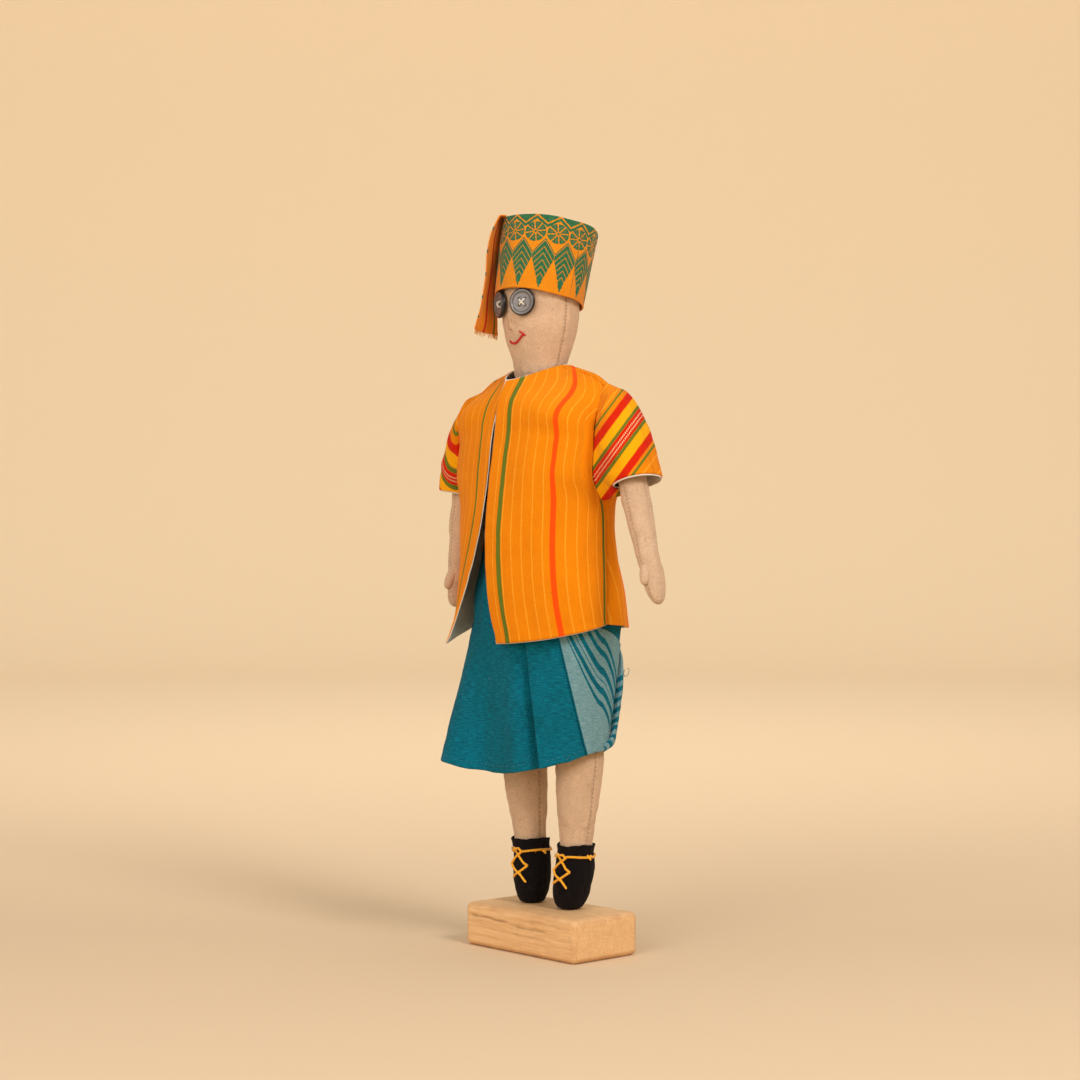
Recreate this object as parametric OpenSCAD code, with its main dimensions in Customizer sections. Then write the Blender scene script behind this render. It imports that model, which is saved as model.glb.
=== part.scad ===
// Free-standing stuffed cloth doll in folk dress on a wooden block.
// Millimetres. +Z is up, the doll faces -Y and its left side is +X.
// The origin is the centre of the block's bottom face.

/* [Stand] */
// Length of the wooden block, side to side
block_w = 75.5; // [70:0.5:84]
// Depth of the wooden block, front to back
block_d = 40.5; // [36:0.5:46]
// Thickness of the wooden block
block_h = 20; // [19:0.5:21]
// Rounding of the block's edges
block_r = 3; // [2:0.5:4]
// Radius of the steel rods that hold the legs up
wire_r = 1.5; // [1.2:0.1:1.5]
// Height of the floor of the blind holes that the rods are glued into
hole_floor = 6; // [4:0.5:8]

/* [Body] */
// Thickness of the canvas skin
skin_t = 0.8; // [0.7:0.05:0.9]
// Height of the shoulder pivots
shoulder_z = 250; // [249.5:0.5:250.5]
// Distance from the body's axis to a shoulder pivot
shoulder_x = 50; // [49.7:0.1:50.4]
// Length of an arm from its pivot to the finger tip
arm_len = 92; // [88:1:94]
// Angle of the left arm away from the body
left_arm_out = 18.5; // [17:0.5:20]
// Angle of the right arm away from the body
right_arm_out = 7; // [6:0.5:9]
// Forward lean of both arms
arm_forward = 3.2; // [2:0.2:4]

/* [Head] */
// Widest radius of the head
head_r = 18.3; // [18:0.1:18.3]
// Radius of an eye button
button_r = 6.4; // [6:0.1:6.4]
// Height of the eye buttons' centres
eye_z = 300.2; // [299.6:0.2:300.2]
// Angle of each eye to the side of the face's centre
eye_az = 23; // [22:0.5:24]

/* [Cap] */
// Height of the cap's wall
cap_h = 34.5; // [34:0.5:36]
// Backward tilt of the cap
cap_tilt = 12.5; // [12:0.5:13]
// Outer radius of the cap at its rim
cap_r0 = 21; // [20.8:0.1:21.2]
// Outer radius of the cap at its top
cap_r1 = 22.9; // [22.5:0.1:23]
// Thickness of the cap's cloth
cap_t = 0.9; // [0.7:0.05:0.9]

/* [Clothes] */
// Thickness of the jacket's outer cloth
cloth_t = 0.7; // [0.5:0.05:0.7]
// Thickness of the jacket's lining
lining_t = 0.45; // [0.3:0.05:0.5]
// Gap between the jacket's cloth and its lining
lining_gap = 0.15; // [0.1:0.05:0.2]
// Radius of a sleeve at its opening
sleeve_r = 15; // [14.5:0.1:15]
// Thickness of the skirt's cloth
skirt_t = 0.9; // [0.7:0.1:1]
// Half width of the skirt at its top
skirt_a = 37; // [36.5:0.1:37.2]

/* [Hidden] */

$fn = 48;
bx = -2.3;                                   // the body's axis, side to side
function by(z) = 4.5 - 0.0285 * (z - 20);    // the body's axis leans slightly forward
head_c = [-2.6, -4];
orange = [0.96, 0.58, 0.06];
canvas = [0.86, 0.76, 0.64];
stuffing = [0.95, 0.94, 0.9];
teal = [0.05, 0.42, 0.5];
lining_c = [0.8, 0.78, 0.74];

// ---- closed solids from rings and grids ----
function sum(v, i = 0) = i >= len(v) ? 0 : v[i] + sum(v, i + 1);
function ell(c, z, a, b, n = 24) = [for (i = [0:n - 1]) [c[0] + a * cos(360 * i / n), c[1] + b * sin(360 * i / n), z]];
function centre(r) = [for (k = [0:2]) sum([for (p = r) p[k]]) / len(r)];
function unit(v) = v / norm(v);

// Rings run counter-clockwise seen from above. The path of rings goes up on the outside and down on the inside.
module rings_solid(r, loop = false) {
  n = len(r[0]);
  m = len(r);
  pts = concat([for (a = r) each a], loop ? [] : [centre(r[0]), centre(r[m - 1])]);
  side = [for (i = [0:m - (loop ? 1 : 2)], j = [0:n - 1])
    let (a = i * n + j, b = i * n + (j + 1) % n, k = (i + 1) % m, c = k * n + (j + 1) % n, d = k * n + j)
    each [[a, d, c], [a, c, b]]];
  caps = loop ? [] : concat([for (j = [0:n - 1]) [m * n, j, (j + 1) % n]],
    [for (j = [0:n - 1]) [m * n + 1, (m - 1) * n + (j + 1) % n, (m - 1) * n + j]]);
  polyhedron(pts, concat(side, caps), convexity = 8);
}

// A sheet with thickness. Columns run counter-clockwise seen from above, rows run upwards.
module sheet_solid(A, B) {
  r = len(A);
  c = len(A[0]);
  k = r * c;
  pts = concat([for (a = A) each a], [for (b = B) each b]);
  body = [for (i = [0:r - 2], j = [0:c - 2]) let (a = i * c + j, b = a + 1, d = a + c, e = d + 1)
    each [[a, d, e], [a, e, b], [k + a, k + e, k + d], [k + a, k + b, k + e]]];
  low = [for (j = [0:c - 2]) let (a = j, b = j + 1) each [[a, b, k + b], [a, k + b, k + a]]];
  high = [for (j = [0:c - 2]) let (d = (r - 1) * c + j, e = d + 1) each [[e, d, k + d], [e, k + d, k + e]]];
  left = [for (i = [0:r - 2]) let (a = i * c, d = a + c) each [[d, a, k + a], [d, k + a, k + d]]];
  right = [for (i = [0:r - 2]) let (b = i * c + c - 1, e = b + c) each [[b, e, k + e], [b, k + e, k + b]]];
  polyhedron(pts, concat(body, low, high, left, right), convexity = 8);
}

// ---- stand ----
function leg_c(side, z) = [bx + side * (11.6 + (z - 6) * 0.0929), by(z)];   // straight line of each rod
module rod(side, r, z0, z1) {
  p = [leg_c(side, z0)[0], leg_c(side, z0)[1], z0];
  q = [leg_c(side, z1)[0], leg_c(side, z1)[1], z1];
  v = q - p;
  translate(p) rotate([0, acos(v[2] / norm(v)), atan2(v[1], v[0])]) cylinder(r = r, h = norm(v));
}
module rounded_rect(a, b, r) {
  square([a - 2 * r, b], center = true);
  square([a, b - 2 * r], center = true);
  for (x = [-1, 1], y = [-1, 1]) translate([x * (a / 2 - r), y * (b / 2 - r)]) circle(r);
}
module wood_base() color([0.82, 0.66, 0.45]) difference() {
  intersection() {
    linear_extrude(block_h) rounded_rect(block_w, block_d, block_r + 1);
    translate([0, block_d / 2, block_h / 2]) rotate([90, 0, 0]) linear_extrude(block_d) rounded_rect(block_w, block_h, block_r);
    translate([-block_w / 2, 0, block_h / 2]) rotate([90, 0, 90]) linear_extrude(block_w) rounded_rect(block_d, block_h, block_r);
  }
  for (s = [-1, 1]) rod(s, wire_r, hole_floor, block_h + 4);
}
module wire(side) color([0.6, 0.6, 0.62]) intersection() {
  rod(side, wire_r, hole_floor, 92);
  translate([-60, -60, 0]) cube([120, 120, 200]);
}
module left_wire() wire(1);
module right_wire() wire(-1);

// ---- legs and shoes ----
leg_rows = [[24, 5.2, 5.4], [30, 6.9, 7], [38, 7.1, 7.3], [47, 7.2, 7.2], [56, 8, 8], [68, 9.6, 9.6], [82, 10.9, 10.9], [92, 11.2, 11.2], [97, 10.5, 10.5]];
function leg_ring(side, row, cut = 0, n = 20) = ell(shoe_c(side, row[0]), row[0], row[1] - cut, row[2] - cut, n);
function wire_ring(side, z, r, n = 20) = ell(leg_c(side, z), z, r, r, n);
module leg_skin(side) color(canvas) rings_solid(concat(
  [wire_ring(side, 22.6, 1.75), ell(shoe_c(side, 22.6), 22.6, 4, 4.5, 20)],
  [for (r = leg_rows) leg_ring(side, r)],
  [for (i = [len(leg_rows) - 1:-1:0]) leg_ring(side, leg_rows[i], skin_t)],
  [ell(shoe_c(side, 23.4), 23.4, 3.9, 4.3, 20), wire_ring(side, 23.4, 1.75)]), loop = true);
module leg_stuffing(side) color(stuffing) rings_solid(concat(
  [wire_ring(side, 92.6, 1.7), wire_ring(side, 23.7, 1.7), ell(shoe_c(side, 23.7), 23.7, 3.7, 4.1, 20)],
  [for (i = [0:len(leg_rows) - 2]) leg_ring(side, leg_rows[i], skin_t + 0.15)],
  [ell(leg_c(side, 96.5), 96.5, 8.8, 8.8, 20)]));
module left_leg_skin() leg_skin(1);
module right_leg_skin() leg_skin(-1);
module left_leg_stuffing() leg_stuffing(1);
module right_leg_stuffing() leg_stuffing(-1);

shoe_rows = [[21.2, 5.4, 6], [24, 7.2, 7.4], [29, 8.6, 8.8], [35, 9, 9.3], [41, 8.7, 8.9], [48, 8.4, 8.4]];
function shoe_c(side, z) = leg_c(side, z) + [0, z < 41 ? -2.2 * (41 - z) / 21 : 0];
function shoe_ring(side, row, cut) = ell(shoe_c(side, row[0]), row[0], row[1] - cut, row[2] - cut, 20);
module shoe(side) color([0.08, 0.08, 0.08]) rings_solid(concat(
  [wire_ring(side, 20, 1.75), ell(shoe_c(side, 20), 20, 4.2, 4.8, 20)],
  [for (r = shoe_rows) shoe_ring(side, r, 0)],
  [for (i = [len(shoe_rows) - 1:-1:1]) shoe_ring(side, shoe_rows[i], 0.9)],
  [ell(shoe_c(side, 21.3), 21.3, 4.2, 4.6, 20), wire_ring(side, 21.2, 1.75)]), loop = true);
module left_shoe() shoe(1);
module right_shoe() shoe(-1);

// A straight thread between two points.
module thread(p, q, r = 0.45) {
  v = q - p;
  translate(p) rotate([0, acos(v[2] / norm(v)), atan2(v[1], v[0])]) cylinder(r = r, h = norm(v), $fn = 16);
}
module shoe_lace(side) color([0.93, 0.65, 0.1]) {
  c = shoe_c(side, 45);
  translate([c[0], c[1], 45.6]) rotate([5, 0, 0]) rotate_extrude() translate([9.35, 0]) circle(r = 0.45, $fn = 16);
  for (s = [-1, 1]) thread([c[0] + s * 5, c[1] - 8.5, 43.4], [c[0] + s * 0.9, c[1] - 10.6, 36.6]);
}
module left_shoe_lace() shoe_lace(1);
module right_shoe_lace() shoe_lace(-1);

// ---- torso ----
torso_rows = [[98.6, 24, 12], [104, 30, 16.5], [116, 33, 19.2], [135, 32.5, 19.2], [155, 31, 18.8], [180, 32, 19],
  [205, 34, 19.5], [225, 36, 18.5], [240, 38, 16.5], [249, 38.6, 14.5], [255, 34, 13.2], [259, 24, 12.2], [262, 13, 11.4]];
function torso_ring(r, cut) = ell([bx, by(r[0])], r[0], r[1] - cut, r[2] - cut, 20);
module torso_skin() color(canvas) rings_solid(concat(
  [ell([bx, by(98)], 97.4, 12, 6, 20)],
  [for (r = torso_rows) torso_ring(r, 0)],
  [ell([bx, by(263)], 263.2, 11.6, 10.6, 20), ell([bx, by(263)], 263.2, 10.6, 9.6, 20)],
  [for (i = [len(torso_rows) - 1:-1:0]) torso_ring(torso_rows[i], 1.05)],
  [ell([bx, by(98)], 98.5, 11, 5, 20)]));
module torso_stuffing() color(stuffing) rings_solid(concat(
  [ell([bx, by(98)], 98.8, 10, 4.6, 20)],
  [for (r = torso_rows) torso_ring(r, 1.7)],
  [ell([bx, by(263)], 262.3, 8.6, 7.8, 20)]));

// ---- skirt ----
function pw(v, e) = sign(v) * pow(abs(v), e);
function bump(f, f0, w) = let (d = abs(((f - f0 + 540) % 360) - 180)) exp(-(d / w) * (d / w));
function hem_z(f) = 84 + 3.5 * bump(f, 228, 30) + 11 * bump(f, 10, 60) + 4 * bump(f, 110, 60);
// u runs from 0 at the hem to 1 at the waist
function skirt_p(f, u, cut) =
  let (z = hem_z(f) * (1 - u) + 152 * u,
       a = skirt_a - cut - 1.5 * (1 - u),
       b = (sin(f) < 0 ? 28.5 : 24.5 - 1.8 * u) - cut,
       x = a * pw(cos(f), 0.74), y = b * pw(sin(f), 0.74),
       g = 1 + ((-0.8 + 16 * (1 - u)) * bump(f, 228, 34) + (2 - 8.5 * (1 - u)) * bump(f, 48, 34)) / 34)
  [bx + x * g, y * g, z];
function skirt_ring(u, cut, n = 36) = [for (i = [0:n - 1]) skirt_p(360 * i / n, u, cut)];
skirt_us = [0, 0.25, 0.5, 0.75, 1];
module skirt_wrap() color(teal) rings_solid(concat(
  [for (u = skirt_us) skirt_ring(u, 0)],
  [for (i = [len(skirt_us) - 1:-1:0]) skirt_ring(skirt_us[i], skirt_t)]), loop = true);
// the wrap's bordered end lies over the skirt at the left front and is tucked up at the left hip
function fold_p(f, u, out) = let (p = skirt_p(f, u, 0), d = unit([p[0] - bx, p[1], 0])) p + d * out;
module skirt_border_fold() color([0.5, 0.66, 0.7]) {
  us = [0.02, 0.25, 0.5, 0.75, 0.9];
  fs = [for (j = [0:6]) 0 + j];
  A = [for (u = us) [for (j = fs) fold_p(-52 + 14 * (1 - u) + j * (50 - 12 * (1 - u)) / 6, u, 1.15)]];
  B = [for (u = us) [for (j = fs) fold_p(-52 + 14 * (1 - u) + j * (50 - 12 * (1 - u)) / 6, u, 0.2)]];
  sheet_solid(A, B);
}
module waist_tie() color([0.85, 0.83, 0.78]) rings_solid([
  ell([bx, 0.7], 153.5, 32.9, 20.6, 24), ell([bx, 0.7], 158, 32.9, 20.6, 24),
  ell([bx, 0.7], 158, 31.8, 19.6, 24), ell([bx, 0.7], 153.5, 31.9, 19.7, 24)], loop = true);

// ---- jacket ----
// Each row has the front edge, the control point and the outer end of a quadratic curve.
left_rows = [
  [[0, -33, 144], [42, -36, 146], [41, -3, 153]],
  [[-2, -36, 163], [43, -36, 164], [41, -3, 167]],
  [[-3, -37, 182], [43, -36, 184], [40.5, -3, 186]],
  [[-3, -36.5, 206], [42, -35, 208], [40, -4, 208]],
  [[-3, -34.5, 224], [43, -33, 222], [41.5, -12, 218]],
  [[-3, -32, 240], [40, -29, 238], [42.5, -13, 232]],
  [[-3, -29, 256], [33, -26, 257], [41.3, -9.5, 247]]];
right_rows = [
  [[-34, -35, 143], [-44, -22, 146], [-45.6, -3, 153]],
  [[-26, -34, 163], [-44, -28, 164], [-45.6, -3, 167]],
  [[-18, -34, 184], [-45, -31, 184], [-45.1, -3, 186]],
  [[-11, -34, 207], [-45, -32, 208], [-44.6, -4, 208]],
  [[-8, -33, 224], [-45, -31, 222], [-46.1, -12, 218]],
  [[-6, -31.5, 240], [-42, -28, 238], [-47.1, -13, 232]],
  [[-4.4, -28, 256], [-37, -25, 258.5], [-45.9, -9.5, 247]]];
// neckline from the front edge to the neck's side, then the shoulder seam
top_row = [[-2.9, -25, 264], [4.5, -21, 266], [9.5, -14, 269], [11.5, -6.5, 271.3], [12.5, -2.5, 272],
  [19, -2.5, 270.5], [26.5, -2.5, 267.8], [34, -2.5, 264], [40.3, -2.5, 258]];
function mir(p) = [2 * bx - p[0], p[1], p[2]];
function quad(r, t) = r[0] * (1 - t) * (1 - t) + r[1] * 2 * t * (1 - t) + r[2] * t * t;
function along(tab, t) = let (n = len(tab) - 1, i = min(n - 1, floor(t * n)), w = t * n - i) tab[i] * (1 - w) + tab[i + 1] * w;
function front_p(side, k, t) = k < 7 ? quad(side > 0 ? left_rows[k] : right_rows[k], t)
  : side > 0 ? along(top_row, t) : t < 0.01 ? mir([-1.1, -25, 264]) : mir(along(top_row, t));
function up_share(k) = k < 5 ? 0 : k == 5 ? 0.12 : k == 6 ? 0.3 : 0.8;
function inward(p, k, d) = p - d * unit([(p[0] - bx) * 0.75, p[1] + 4, 0] / max(1, norm([(p[0] - bx) * 0.75, p[1] + 4])) * (1 - up_share(k)) + [0, 0, up_share(k)]);
// share of each row, from the front edge, that belongs to the opening flap
flap_t = [0.47, 0.35, 0.27, 0.185, 0.13, 0.08, 0.02, 0];
function grid(side, ks, t0, t1, d, n = 8) = [for (k = ks) [for (j = [0:n])
  let (a = t0[k], b = t1[k], jj = side > 0 ? j : n - j) inward(front_p(side, k, a + (b - a) * jj / n), k, d)]];
all_k = [0, 1, 2, 3, 4, 5, 6, 7];
flap_k = [0, 1, 2, 3, 4, 5];
zero = [0, 0, 0, 0, 0, 0, 0, 0];
one = [1, 1, 1, 1, 1, 1, 1, 1];
g = 0.035;
fixed_start = [for (t = flap_t) t > 0.03 ? t + g : t];
flap_end = [for (t = flap_t) max(0, t - g)];
lin0 = cloth_t + lining_gap;
lin1 = lin0 + lining_t;
module jacket_left_front() color(orange) sheet_solid(grid(1, all_k, fixed_start, one, 0), grid(1, all_k, fixed_start, one, cloth_t));
module jacket_right_front() color(orange) sheet_solid(grid(-1, all_k, fixed_start, one, 0), grid(-1, all_k, fixed_start, one, cloth_t));
module jacket_left_lining() color(lining_c) sheet_solid(grid(1, all_k, fixed_start, one, lin0), grid(1, all_k, fixed_start, one, lin1));
module jacket_right_lining() color(lining_c) sheet_solid(grid(-1, all_k, fixed_start, one, lin0), grid(-1, all_k, fixed_start, one, lin1));
module left_front_flap() color(orange) sheet_solid(grid(1, flap_k, zero, flap_end, 0), grid(1, flap_k, zero, flap_end, cloth_t));
module right_front_flap() color(orange) sheet_solid(grid(-1, flap_k, zero, flap_end, 0), grid(-1, flap_k, zero, flap_end, cloth_t));
module left_flap_lining() color(lining_c) sheet_solid(grid(1, flap_k, zero, flap_end, lin0), grid(1, flap_k, zero, flap_end, lin1));
module right_flap_lining() color(lining_c) sheet_solid(grid(-1, flap_k, zero, flap_end, lin0), grid(-1, flap_k, zero, flap_end, lin1));

back_rows = [
  [[41, -2, 153], [44, 28.5, 150], [bx, 26, 150]],
  [[41, -2, 167], [43, 25, 165], [bx, 25.5, 165]],
  [[40.5, -2, 186], [40, 18.5, 185], [bx, 23, 185]],
  [[40, -3, 208], [39, 17.5, 208], [bx, 21.5, 208]],
  [[41.5, 8, 218], [39, 19, 222], [bx, 20.5, 224]],
  [[42.5, 9, 232], [39, 19, 238], [bx, 19.5, 240]],
  [[41.3, 5.5, 247], [32, 16, 256], [bx, 17.5, 257]]];
back_top = [[40.3, -1.8, 258], [34, -1.8, 264], [26.5, -1.8, 267.8], [19, -1.8, 270.5], [12.5, -1.8, 272], [10.5, 4.5, 272], [5.5, 9.5, 271.5], [bx, 11.5, 271]];
function back_p(k, t) = k < 7 ? quad(back_rows[k], t) : along(back_top, t);
function back_grid(d) = [for (k = all_k) [for (j = [0:14]) inward(j <= 7 ? back_p(k, j / 7) : mir(back_p(k, (14 - j) / 7)), k, d)]];
module jacket_back() color(orange) sheet_solid(back_grid(0), back_grid(cloth_t));
module jacket_back_lining() color(lining_c) sheet_solid(back_grid(lin0), back_grid(lin1));

// ---- arms and sleeves: t runs from the shoulder pivot down the arm ----
function pivot(side) = [bx + side * shoulder_x, -2, shoulder_z];
module at_arm(side) translate(pivot(side))
  rotate([-arm_forward, 0, 0]) rotate([0, side > 0 ? -left_arm_out : right_arm_out, 0]) rotate([180, 0, 0]) children();
arm_prof = [[1.8, -5.7], [4, -4.5], [5.6, -2.2], [6, 0], [6.5, 8], [6.8, 20], [6.9, 45], [7.2, 66], [6.6, 76], [6.9, 82], [5.6, arm_len - 4.5], [3, arm_len - 0.9]];
arm_in = [[2.3, arm_len - 1.6], [4.8, arm_len - 5.2], [6.1, 81.6], [5.8, 76], [6.4, 66], [6.1, 45], [6, 20], [5.7, 8], [5.2, 0.2], [4.8, -1.8], [3.4, -3.9], [1.8, -4.8]];
module arm_skin(side) color(canvas) at_arm(side) rotate_extrude() polygon(concat(arm_prof, [[0, arm_len], [0, arm_len - 0.8]], arm_in));
module arm_stuffing(side) color(stuffing) at_arm(side) rotate_extrude() polygon(concat([[0, -4.6]],
  [[1.6, -4.6], [3.3, -3.7], [4.6, -1.7], [5, 0.2], [5.5, 8], [5.8, 20], [5.9, 45], [6.2, 66], [5.6, 76], [5.9, 81.5], [4.6, arm_len - 5.4], [2, arm_len - 1.9]], [[0, arm_len - 1.2]]));
module left_arm_skin() arm_skin(1);
module right_arm_skin() arm_skin(-1);
module left_arm_stuffing() arm_stuffing(1);
module right_arm_stuffing() arm_stuffing(-1);
module sleeve(side) color(orange) intersection() {
  at_arm(side) rotate_extrude() polygon([[3, -6.6], [7.4, -4.2], [10.4, 0], [12.4, 6], [13.6, 14], [14.4, 24], [sleeve_r, 37],
    [sleeve_r - 1, 37], [13.4, 24], [12.6, 14], [11.4, 6.4], [9.4, 0.6], [7, -3.2], [3, -5.5]]);
  translate([side > 0 ? pivot(1)[0] - 2.2 : pivot(-1)[0] - 57.8, -40, 190]) cube([60, 80, 80]);
}
module left_sleeve() sleeve(1);
module right_sleeve() sleeve(-1);
module shoulder_thread(side) color([0.93, 0.9, 0.82]) translate([side > 0 ? 36.8 : -46.6, -2, shoulder_z]) rotate([0, 90, 0]) translate([0, 0, side > 0 ? 0 : 0.3]) cylinder(r = 1.2, h = 4.7);
module left_shoulder_thread() shoulder_thread(1);
module right_shoulder_thread() shoulder_thread(-1);

// ---- head ----
neck_z = 272;   // height of the pivot in the neck
module at_head() translate([head_c[0], head_c[1], 0]) children();
head_prof = [[10.7, 266], [11.6, 268], [12.2, 270.3], [12.3, 273], [13.6, 277], [15.6, 283], [17.3, 290], [18, 297], [head_r, 304], [17.9, 312], [16.8, 317], [14.2, 321], [9.8, 324.4], [4.5, 326.3]];
module head_skin() color(canvas) at_head() rotate_extrude() polygon(concat(head_prof, [[0, 326.8], [0, 325.9], [4.3, 325.4], [9.4, 323.5],
  [13.6, 320.3], [16.1, 316.5], [17.1, 311.7], [head_r - 0.8, 304], [17.2, 297.1], [16.5, 290.2], [14.8, 283.3], [12.8, 277.3], [11.5, 273.2], [11.4, 270.4], [10.8, 268.1], [9.9, 266]]));
module head_stuffing() color(stuffing) at_head() rotate_extrude() polygon([[0, 266.4], [9.7, 266.4], [10.5, 268.2], [11.1, 270.5], [11.2, 273.4], [12.5, 277.4], [14.5, 283.4], [16.2, 290.3], [16.9, 297.1],
  [head_r - 1.1, 304], [16.8, 311.6], [15.8, 316.3], [13.3, 320], [9.2, 323.2], [4.2, 325.1], [0, 325.6]]);
module neck_stitching() color([0.9, 0.86, 0.78]) at_head() translate([0, 0, 264.3]) rotate_extrude() translate([11.2, 0]) circle(r = 0.4, $fn = 16);

// an eye button: local z points out of the face
module at_eye(side) translate([head_c[0], head_c[1], eye_z]) rotate([0, 0, side * eye_az]) translate([0, -head_r - 0.2, 0]) rotate([90, 0, 0]) children();
module button(side) color([0.36, 0.35, 0.35]) at_eye(side) difference() {
  rotate_extrude() polygon([[0, 0], [button_r - 0.9, 0], [button_r, 0.8], [button_r, 1.7], [button_r - 0.6, 2.4], [button_r - 1.4, 2.4], [button_r - 2.2, 1.8], [0, 1.8]]);
  for (a = [45:90:315]) rotate([0, 0, a]) translate([2, 0, -1]) cylinder(r = 0.75, h = 5);
}
module eye_thread(side) color([0.93, 0.88, 0.78]) at_eye(side) {
  for (a = [45:90:315]) rotate([0, 0, a]) translate([2, 0, 0]) cylinder(r = 0.5, h = 2.4, $fn = 24);
  for (a = [45, 135]) rotate([0, 0, a]) translate([-2, 0, 2.4]) rotate([0, 90, 0]) cylinder(r = 0.5, h = 4, $fn = 24);
}
module left_eye_button() button(1);
module right_eye_button() button(-1);
module left_eye_thread() eye_thread(1);
module right_eye_thread() eye_thread(-1);
module nose_stitch() color([0.75, 0.55, 0.42]) thread([head_c[0], head_c[1] - 17.75, 288], [head_c[0], head_c[1] - 18.95, 296.5], 0.55);
module mouth_stitch() color([0.75, 0.1, 0.05]) at_head() translate([0, 0, 283.6]) rotate([0, 0, -100]) rotate_extrude(angle = 28) translate([16.4, 0]) circle(r = 0.45, $fn = 16);

// ---- cap ----
cap_base = [head_c[0], head_c[1] - 1, 302.9];
module at_cap() translate(cap_base) rotate([-cap_tilt, 0, 0]) children();
module cap_band() color(orange) at_cap() rotate_extrude() polygon([[cap_r0 - cap_t, 0], [cap_r0, 0], [cap_r1, cap_h], [cap_r1 - cap_t, cap_h]]);
module cap_crown() color(orange) at_cap() translate([0, 0, cap_h - 1.8]) cylinder(r = cap_r1 - cap_t - 0.2, h = 0.9);
// the tail is a strip folded along its length: its far edge lies near the cap and its near edge stands away
tail_d = [-0.669, -0.743, 0];
tail_t = [0.743, -0.669, 0];
// height, reach of the near edge, of the crease and of the far edge
tail_rows = [[287, 30.5, 26.6, 20.6], [296, 28.8, 25.6, 21.2], [303, 27.3, 24.9, 21.6], [310, 26.2, 24, 21.2], [325, 25.2, 22.7, 20],
  [334, 22.8, 21.2, 18.9], [341, 19.5, 19.1, 18.2]];
function tail_p(row, s, d) = let (reach = (s > 0 ? row[2] * (1 - s) + row[1] * s : row[2] * (1 + s) - row[3] * s) - d * 0.5, w = s > 0 ? -1 + 6.5 * s : -1 + 8 * s)
  [head_c[0], head_c[1], row[0]] + tail_d * reach + tail_t * (w + d * (s > 0 ? -0.75 : -0.6));
tail_ss = [-1, -0.66, -0.33, 0, 0.33, 0.66, 1];
module cap_tail() color(orange) sheet_solid([for (r = tail_rows) [for (s = tail_ss) tail_p(r, s, 0)]], [for (r = tail_rows) [for (s = tail_ss) tail_p(r, s, 1)]]);

wood_base();
left_wire();
right_wire();
left_leg_skin();
right_leg_skin();
left_leg_stuffing();
right_leg_stuffing();
left_shoe();
right_shoe();
left_shoe_lace();
right_shoe_lace();
torso_skin();
torso_stuffing();
skirt_wrap();
skirt_border_fold();
waist_tie();
jacket_back();
jacket_left_front();
jacket_right_front();
jacket_back_lining();
jacket_left_lining();
jacket_right_lining();
left_front_flap();
left_flap_lining();
right_front_flap();
right_flap_lining();
left_sleeve();
right_sleeve();
left_arm_skin();
right_arm_skin();
left_arm_stuffing();
right_arm_stuffing();
left_shoulder_thread();
right_shoulder_thread();
neck_stitching();
head_skin();
head_stuffing();
left_eye_button();
right_eye_button();
left_eye_thread();
right_eye_thread();
nose_stitch();
mouth_stitch();
cap_band();
cap_crown();
cap_tail();
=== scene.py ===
# A stuffed cloth doll in folk dress on a wooden block. Lengths are in millimetres until a mesh is made.
import math

import bmesh
import bpy
import numpy as np
from mathutils import Matrix, Vector


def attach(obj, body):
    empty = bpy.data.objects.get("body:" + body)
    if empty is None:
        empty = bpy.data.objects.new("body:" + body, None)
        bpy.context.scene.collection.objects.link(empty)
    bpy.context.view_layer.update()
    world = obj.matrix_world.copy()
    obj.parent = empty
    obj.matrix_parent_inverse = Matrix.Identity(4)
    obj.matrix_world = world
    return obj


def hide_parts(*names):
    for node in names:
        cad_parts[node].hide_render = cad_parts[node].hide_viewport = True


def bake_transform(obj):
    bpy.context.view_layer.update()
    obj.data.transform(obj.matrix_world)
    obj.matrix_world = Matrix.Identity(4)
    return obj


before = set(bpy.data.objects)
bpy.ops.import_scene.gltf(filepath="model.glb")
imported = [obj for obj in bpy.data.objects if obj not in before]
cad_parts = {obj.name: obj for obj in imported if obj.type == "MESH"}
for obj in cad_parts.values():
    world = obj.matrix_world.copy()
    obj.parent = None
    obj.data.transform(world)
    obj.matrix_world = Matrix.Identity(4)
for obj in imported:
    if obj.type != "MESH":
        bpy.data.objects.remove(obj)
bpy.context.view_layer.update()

# ------------------------------------------------------------------ numbers
PI = math.pi
BX = -2.3
HEAD = np.array([-2.6, -4.0, 0.0])


def by(z):
    return 4.5 - 0.0285 * (z - 20)


def unit(v):
    v = np.asarray(v, float)
    return v / np.maximum(np.linalg.norm(v, axis=-1, keepdims=True), 1e-12)


def sstep(a, b, x):
    t = np.clip((np.asarray(x, float) - a) / (b - a), 0, 1)
    return t * t * (3 - 2 * t)


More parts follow.
